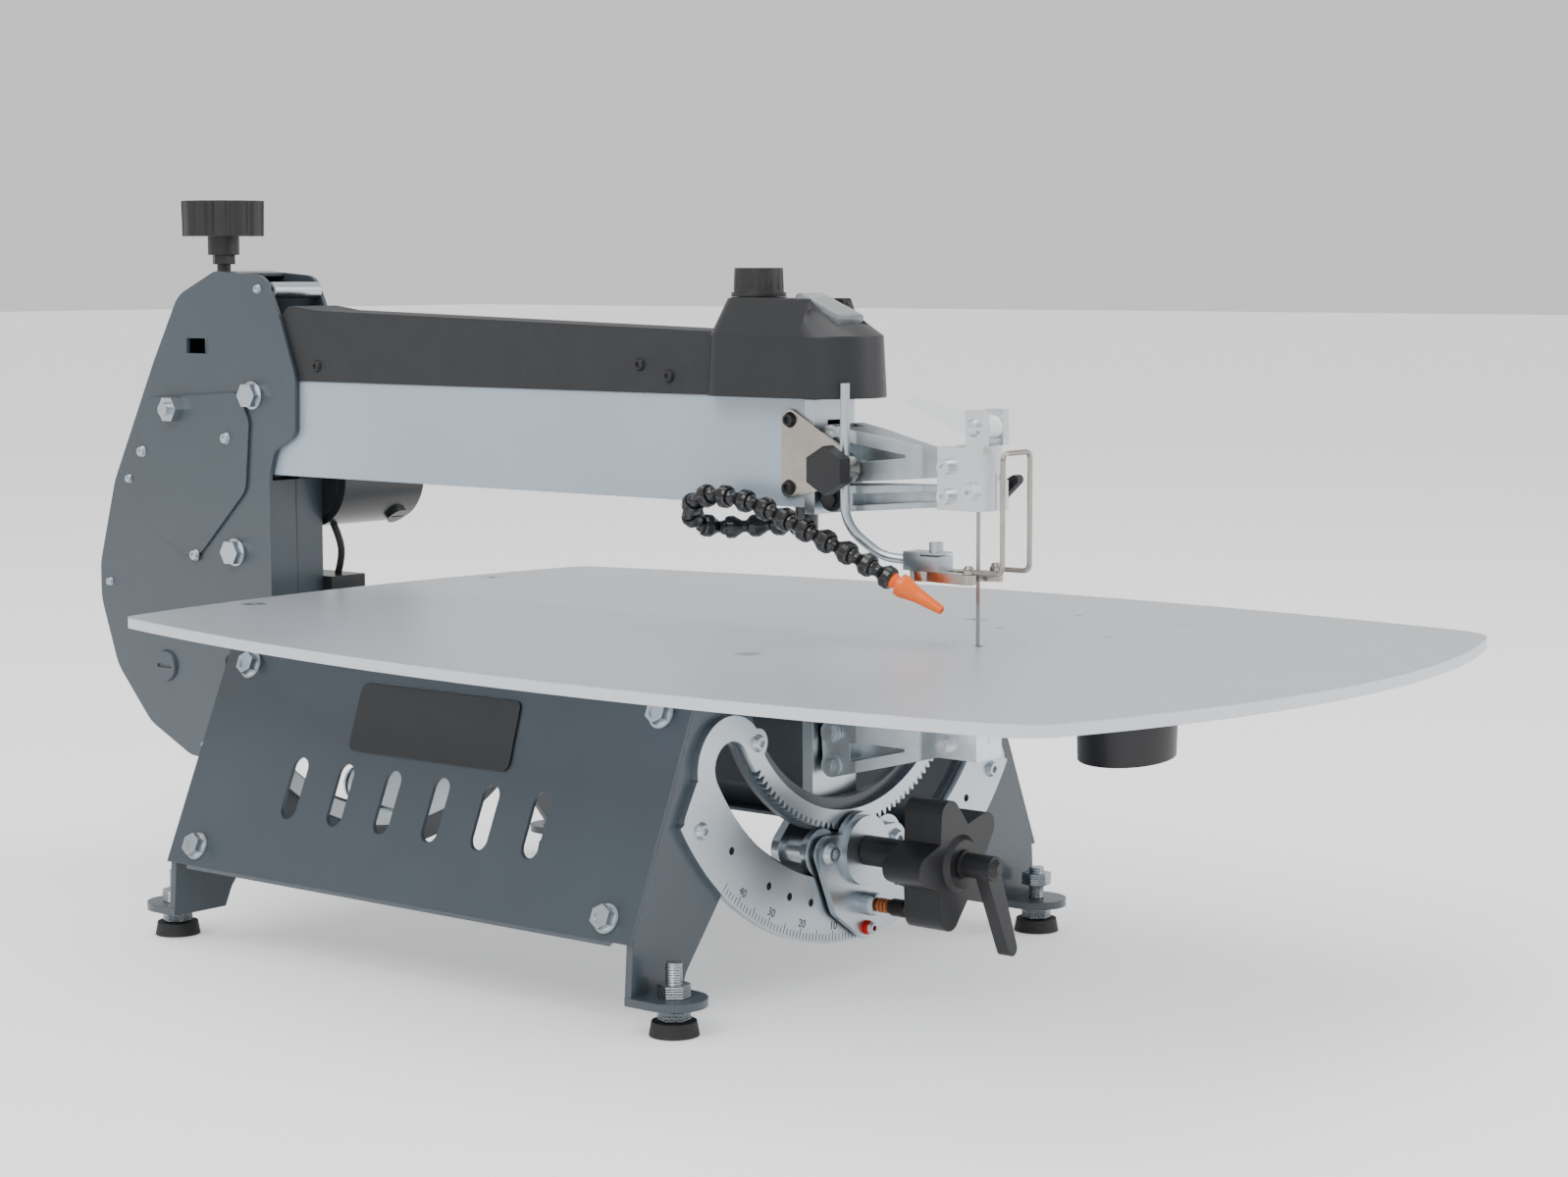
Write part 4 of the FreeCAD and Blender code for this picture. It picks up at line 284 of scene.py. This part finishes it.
# %% [markdown]
# ## Painted steel
# The folded legs, side panels and column are powder coated a dark slate. Powder has a soft orange
# peel, so its bump is broad and shallow, with a thin clear gloss over it.

# %% Paint
SLATE = colour(58, 68, 76)
slate = finish("slate_powder", SLATE, 0.0, 0.36, 0.05, 0.05, 0.0016, 0.00003, edge=0.0010, coat=0.25)
dress(slate, "front_leg_frame", "rear_leg_frame", "right_side_panel", "left_side_panel",
      "column_left", "column_right", "lower_arm", "column_covers")
beam = finish("beam_paint", colour(170, 184, 195), 0.25, 0.34, 0.03, 0.06, 0.0014, 0.00002, edge=0.0010)
dress(beam, "upper_arm_beam")
satin_black = finish("satin_black_paint", colour(24, 25, 27), 0.0, 0.34, 0.08, 0.03, 0.0012, 0.00002,
                     coat=0.2)
dress(satin_black, "motor_housing", "control_box", "nameplate")

# %% [markdown]
# ## Bare and plated metal
# Zinc plate is bright with cloudy patches. The ground table is calmer, with very fine lines along
# its length: the same noise stretched sixty times in one direction gives them.

# %% Metals
ZINC = colour(186, 194, 200)
zinc = finish("zinc_plate", ZINC, 1.0, 0.32, 0.04, 0.030, 0.0008, 0.00001, edge=0.0004, wander=0.03)
dress(zinc, "frame_bolts", "front_trunnion", "rear_trunnion", "lower_arm_bracket", "upper_arm_bracket",
      "tilt_carriers", "head_fasteners", "rear_rocker", "connecting_rod", "hold_down_rod")
table_metal = finish("ground_aluminium", colour(208, 212, 218), 0.72, 0.37, 0.02, 0.20, 0.0006, 0.000004,
                     lines=(60, 1, 60), edge=0.0008, wander=0.04)
dress(table_metal, "table", "blade_insert")
cast = finish("die_cast", colour(178, 186, 191), 1.0, 0.38, 0.08, 0.010, 0.0007, 0.00004, edge=0.0006,
              wander=0.10)
dress(cast, "upper_bell_crank", "upper_link", "lower_bell_crank", "lower_link")
milled = finish("milled_aluminium", colour(214, 217, 220), 1.0, 0.27, 0.04, 0.012, 0.0004, 0.000008,
                lines=(1, 1, 20), edge=0.0004)
dress(milled, "upper_blade_holder", "lower_blade_holder")
nickel = finish("nickel_plate", colour(172, 166, 158), 1.0, 0.24, 0.10, 0.012, 0.0006, 0.000006, edge=0.0003)
dress(nickel, "hold_down_mount", "blade_guard")
steel = finish("machined_steel", colour(160, 162, 166), 1.0, 0.30, 0.06, 0.015, 0.0005, 0.00001,
               lines=(1, 1, 8), edge=0.0003)
dress(steel, "pinion_shaft", "motor_rotor", "blade", "upper_drive_rod", "lower_drive_rod")

# %% [markdown]
# ## Threaded studs
# A thread is a height that repeats along the stud, and a wave read from the stud's own height gives
# it. The nuts share the finish, so the same faint lines run over them.

# %% Threads
THREAD_PITCH = 0.0015 * UNIT
stud = finish("threaded_zinc", ZINC, 1.0, 0.27, 0.10, 0.012, 0.0008, 0.00001, edge=0.0003)
THREAD_DEPTH = 0.00022
turns = stud.sum("SINE", stud.sum("MULTIPLY", stud.axis("Z"), 2 * math.pi / THREAD_PITCH))
for node in stud.tree.nodes:
    if node.bl_idname == "ShaderNodeBump":
        node.inputs["Distance"].default_value = THREAD_DEPTH
        stud.link(turns, node.inputs["Height"])
dress(stud, "levelling_studs")

# %% [markdown]
# ## Plastics and rubber
# Moulded covers are matt black with a leathery spark texture, knobs are smoother, and the hose beads
# are glossy enough to show a bright streak on each one.

# %% Plastics
BLACK = colour(28, 28, 30)
textured = finish("textured_cover", colour(36, 37, 40), 0.0, 0.62, 0.10, 0.02, 0.0011, 0.00016, edge=0.0012)
dress(textured, "arm_cover")
cover = finish("satin_cover", colour(30, 31, 34), 0.0, 0.38, 0.06, 0.03, 0.0010, 0.00004, edge=0.0015)
dress(cover, "head_cover")
moulded = finish("moulded_black", BLACK, 0.0, 0.42, 0.08, 0.02, 0.0009, 0.00004, edge=0.0008)
dress(moulded, "storage_cup", "tilt_knob", "tension_knob", "speed_knob", "hold_down_knob",
      "upper_thumb_screw", "lower_thumb_screw", "switch_rocker", "upper_arm_fasteners", "clamp_lever")
glossy = finish("hose_gloss", colour(20, 20, 22), 0.0, 0.18, 0.05, 0.02, 0.0010, 0.00001, edge=0.0006,
                coat=0.3)
dress(glossy, "hose_base", "hose_middle", "hose_tip")
orange = finish("orange_nozzle", colour(255, 110, 20), 0.0, 0.30, 0.04, 0.01, 0.0010, 0.00001, edge=0.0006)
dress(orange, "air_nozzle")
rubber = finish("rubber", colour(30, 30, 31), 0.0, 0.66, 0.10, 0.01, 0.0010, 0.00006, edge=0.0008)
dress(rubber, "foot_pads")
lever_white = finish("translucent_white", colour(236, 238, 240), 0.0, 0.26, 0.02, 0.01, 0.0010,
                     0.00001, edge=0.0006)
lever_white.shader.inputs["Subsurface Weight"].default_value = 0.35
lever_white.shader.inputs["Subsurface Radius"].default_value = (0.004, 0.004, 0.004)
dress(lever_white, "tension_lever")

# %% [markdown]
# ## Small parts in a second colour
# The zero stop carries a red ring and the index plunger a copper spring, on parts that are otherwise
# plated. A patch in the finish, placed by distance, colours only that spot.

# %% Patched finishes
STOP_AT = Vector((0.0035, -0.18195, 0.0315)) * UNIT
STOP_REACH = 0.0048 * UNIT
SPRING_AT = Vector((0.0, -0.19865, 0.048)) * UNIT
SPRING_REACH = 0.0064 * UNIT
RED = colour(196, 38, 34)
COPPER = colour(176, 104, 62)
pointer = finish("pointer_zinc", ZINC, 1.0, 0.32, 0.04, 0.030, 0.0008, 0.00001, edge=0.0004, wander=0.03,
                 patches=[(STOP_AT, STOP_REACH, RED)])
dress(pointer, "pointer_plate")
plunger = finish("plunger_black", colour(40, 34, 30), 0.6, 0.34, 0.10, 0.01, 0.0008, 0.00001, edge=0.0003,
                 patches=[(SPRING_AT, SPRING_REACH, COPPER)])
dress(plunger, "index_plunger")
clear = finish("clear_boot", colour(225, 230, 232), 0.0, 0.12, 0.01, 0.02, 0.0010, 0.00001, edge=0.0010)
clear.shader.inputs["Transmission Weight"].default_value = 0.8
clear.shader.inputs["IOR"].default_value = 1.42
dress(clear, "switch_bezel")

# %% [markdown]
# ## The tilt scale
# Fine degree marks and numerals run along the lower edge of the front trunnion. They are thin raised
# strips: one mark is shaped once, then copied round the tilt axis, each copy turned to its angle.
# The zero sits a little to the right of straight down, where the pointer plate reads.

# %% Tilt scale
SCALE_OUT = 0.1915 * UNIT
NUMERAL_RADIUS = 0.1822 * UNIT
NUMERAL_SIZE = 0.0072 * UNIT
LONG_MARK = 0.0065 * UNIT
SHORT_MARK = 0.0042 * UNIT
SCALE_ZERO = math.radians(3.2)
MARK_WIDTH = 0.0004 * UNIT
MARK_PROUD = 0.00012
plate_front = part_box("front_trunnion")[0][1]


def mark(value, length):
    angle = math.radians(value) - SCALE_ZERO
    radius = SCALE_OUT - length / 2
    clear_selection()
    bpy.ops.mesh.primitive_cube_add(size=1.0, location=(0, 0, 0))
    strip = bpy.context.object
    strip.scale = (MARK_WIDTH, MARK_PROUD, length)
    settle(strip)
    strip.matrix_world = (Matrix.Translation((0, plate_front - MARK_PROUD / 2, TABLE_HEIGHT))
                          @ Matrix.Rotation(angle, 4, "Y") @ Matrix.Translation((0, 0, -radius)))
    return strip


marks = [mark(value, LONG_MARK if value % 5 == 0 else SHORT_MARK) for value in range(0, 46)]
scale_marks = join(marks, "scale_marks")
ink = finish("scale_ink", colour(46, 48, 50), 0.0, 0.6, 0.05, 0.01, 0.0010, 0.00001, edge=0.0001)
scale_marks.data.materials.append(ink.material)


def numeral(value):
    angle = math.radians(value) - SCALE_ZERO
    clear_selection()
    bpy.ops.object.text_add(location=(0, 0, 0))
    text = bpy.context.object
    text.data.body = str(value)
    text.data.size = NUMERAL_SIZE
    text.data.extrude = MARK_PROUD / 2
    text.data.align_x = "CENTER"
    text.data.align_y = "CENTER"
    bpy.ops.object.convert(target="MESH")
    text = bpy.context.object
    text.matrix_world = (Matrix.Translation((0, plate_front - MARK_PROUD / 2, TABLE_HEIGHT))
                         @ Matrix.Rotation(angle, 4, "Y") @ Matrix.Translation((0, 0, -NUMERAL_RADIUS))
                         @ Matrix.Rotation(math.pi / 2, 4, "X"))
    return text


scale_numerals = join([numeral(value) for value in (10, 20, 30, 40)], "scale_numerals")
scale_numerals.data.materials.append(ink.material)
for piece in (scale_marks, scale_numerals):
    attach(piece, "base")
print("marks on the scale:", len(scale_marks.data.polygons) // 6)

# %% [markdown]
# ## The motor lead
# A short black lead runs from under the motor into the control box. A cord is one smooth curve with
# a round section, so it is drawn as a NURBS spline through its own route.

# %% Motor lead
Y_SHIFT = 0.26815
LEAD_ROUTE = [(0.040, 0.612, 0.2572), (0.042, 0.607, 0.246), (0.044, 0.607, 0.232), (0.044, 0.612, 0.2195)]
LEAD_RADIUS = 0.0026 * UNIT
route = bpy.data.curves.new("motor_lead_cord", "CURVE")
route.dimensions = "3D"
route.bevel_depth = LEAD_RADIUS
route.bevel_resolution = 6
spline = route.splines.new("NURBS")
spline.points.add(len(LEAD_ROUTE) - 1)
for point, (x, y, z) in zip(spline.points, LEAD_ROUTE):
    point.co = (x * UNIT, (y - Y_SHIFT) * UNIT, z * UNIT, 1.0)
spline.order_u = 3
spline.use_endpoint_u = True
motor_cord = bpy.data.objects.new("motor_lead_cord", route)
bpy.context.scene.collection.objects.link(motor_cord)
cord_black = finish("cord_black", colour(22, 22, 23), 0.0, 0.5, 0.06, 0.01, 0.0010, 0.00001, edge=0.0004)
route.materials.append(cord_black.material)
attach(motor_cord, "head")
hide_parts("motor_lead")
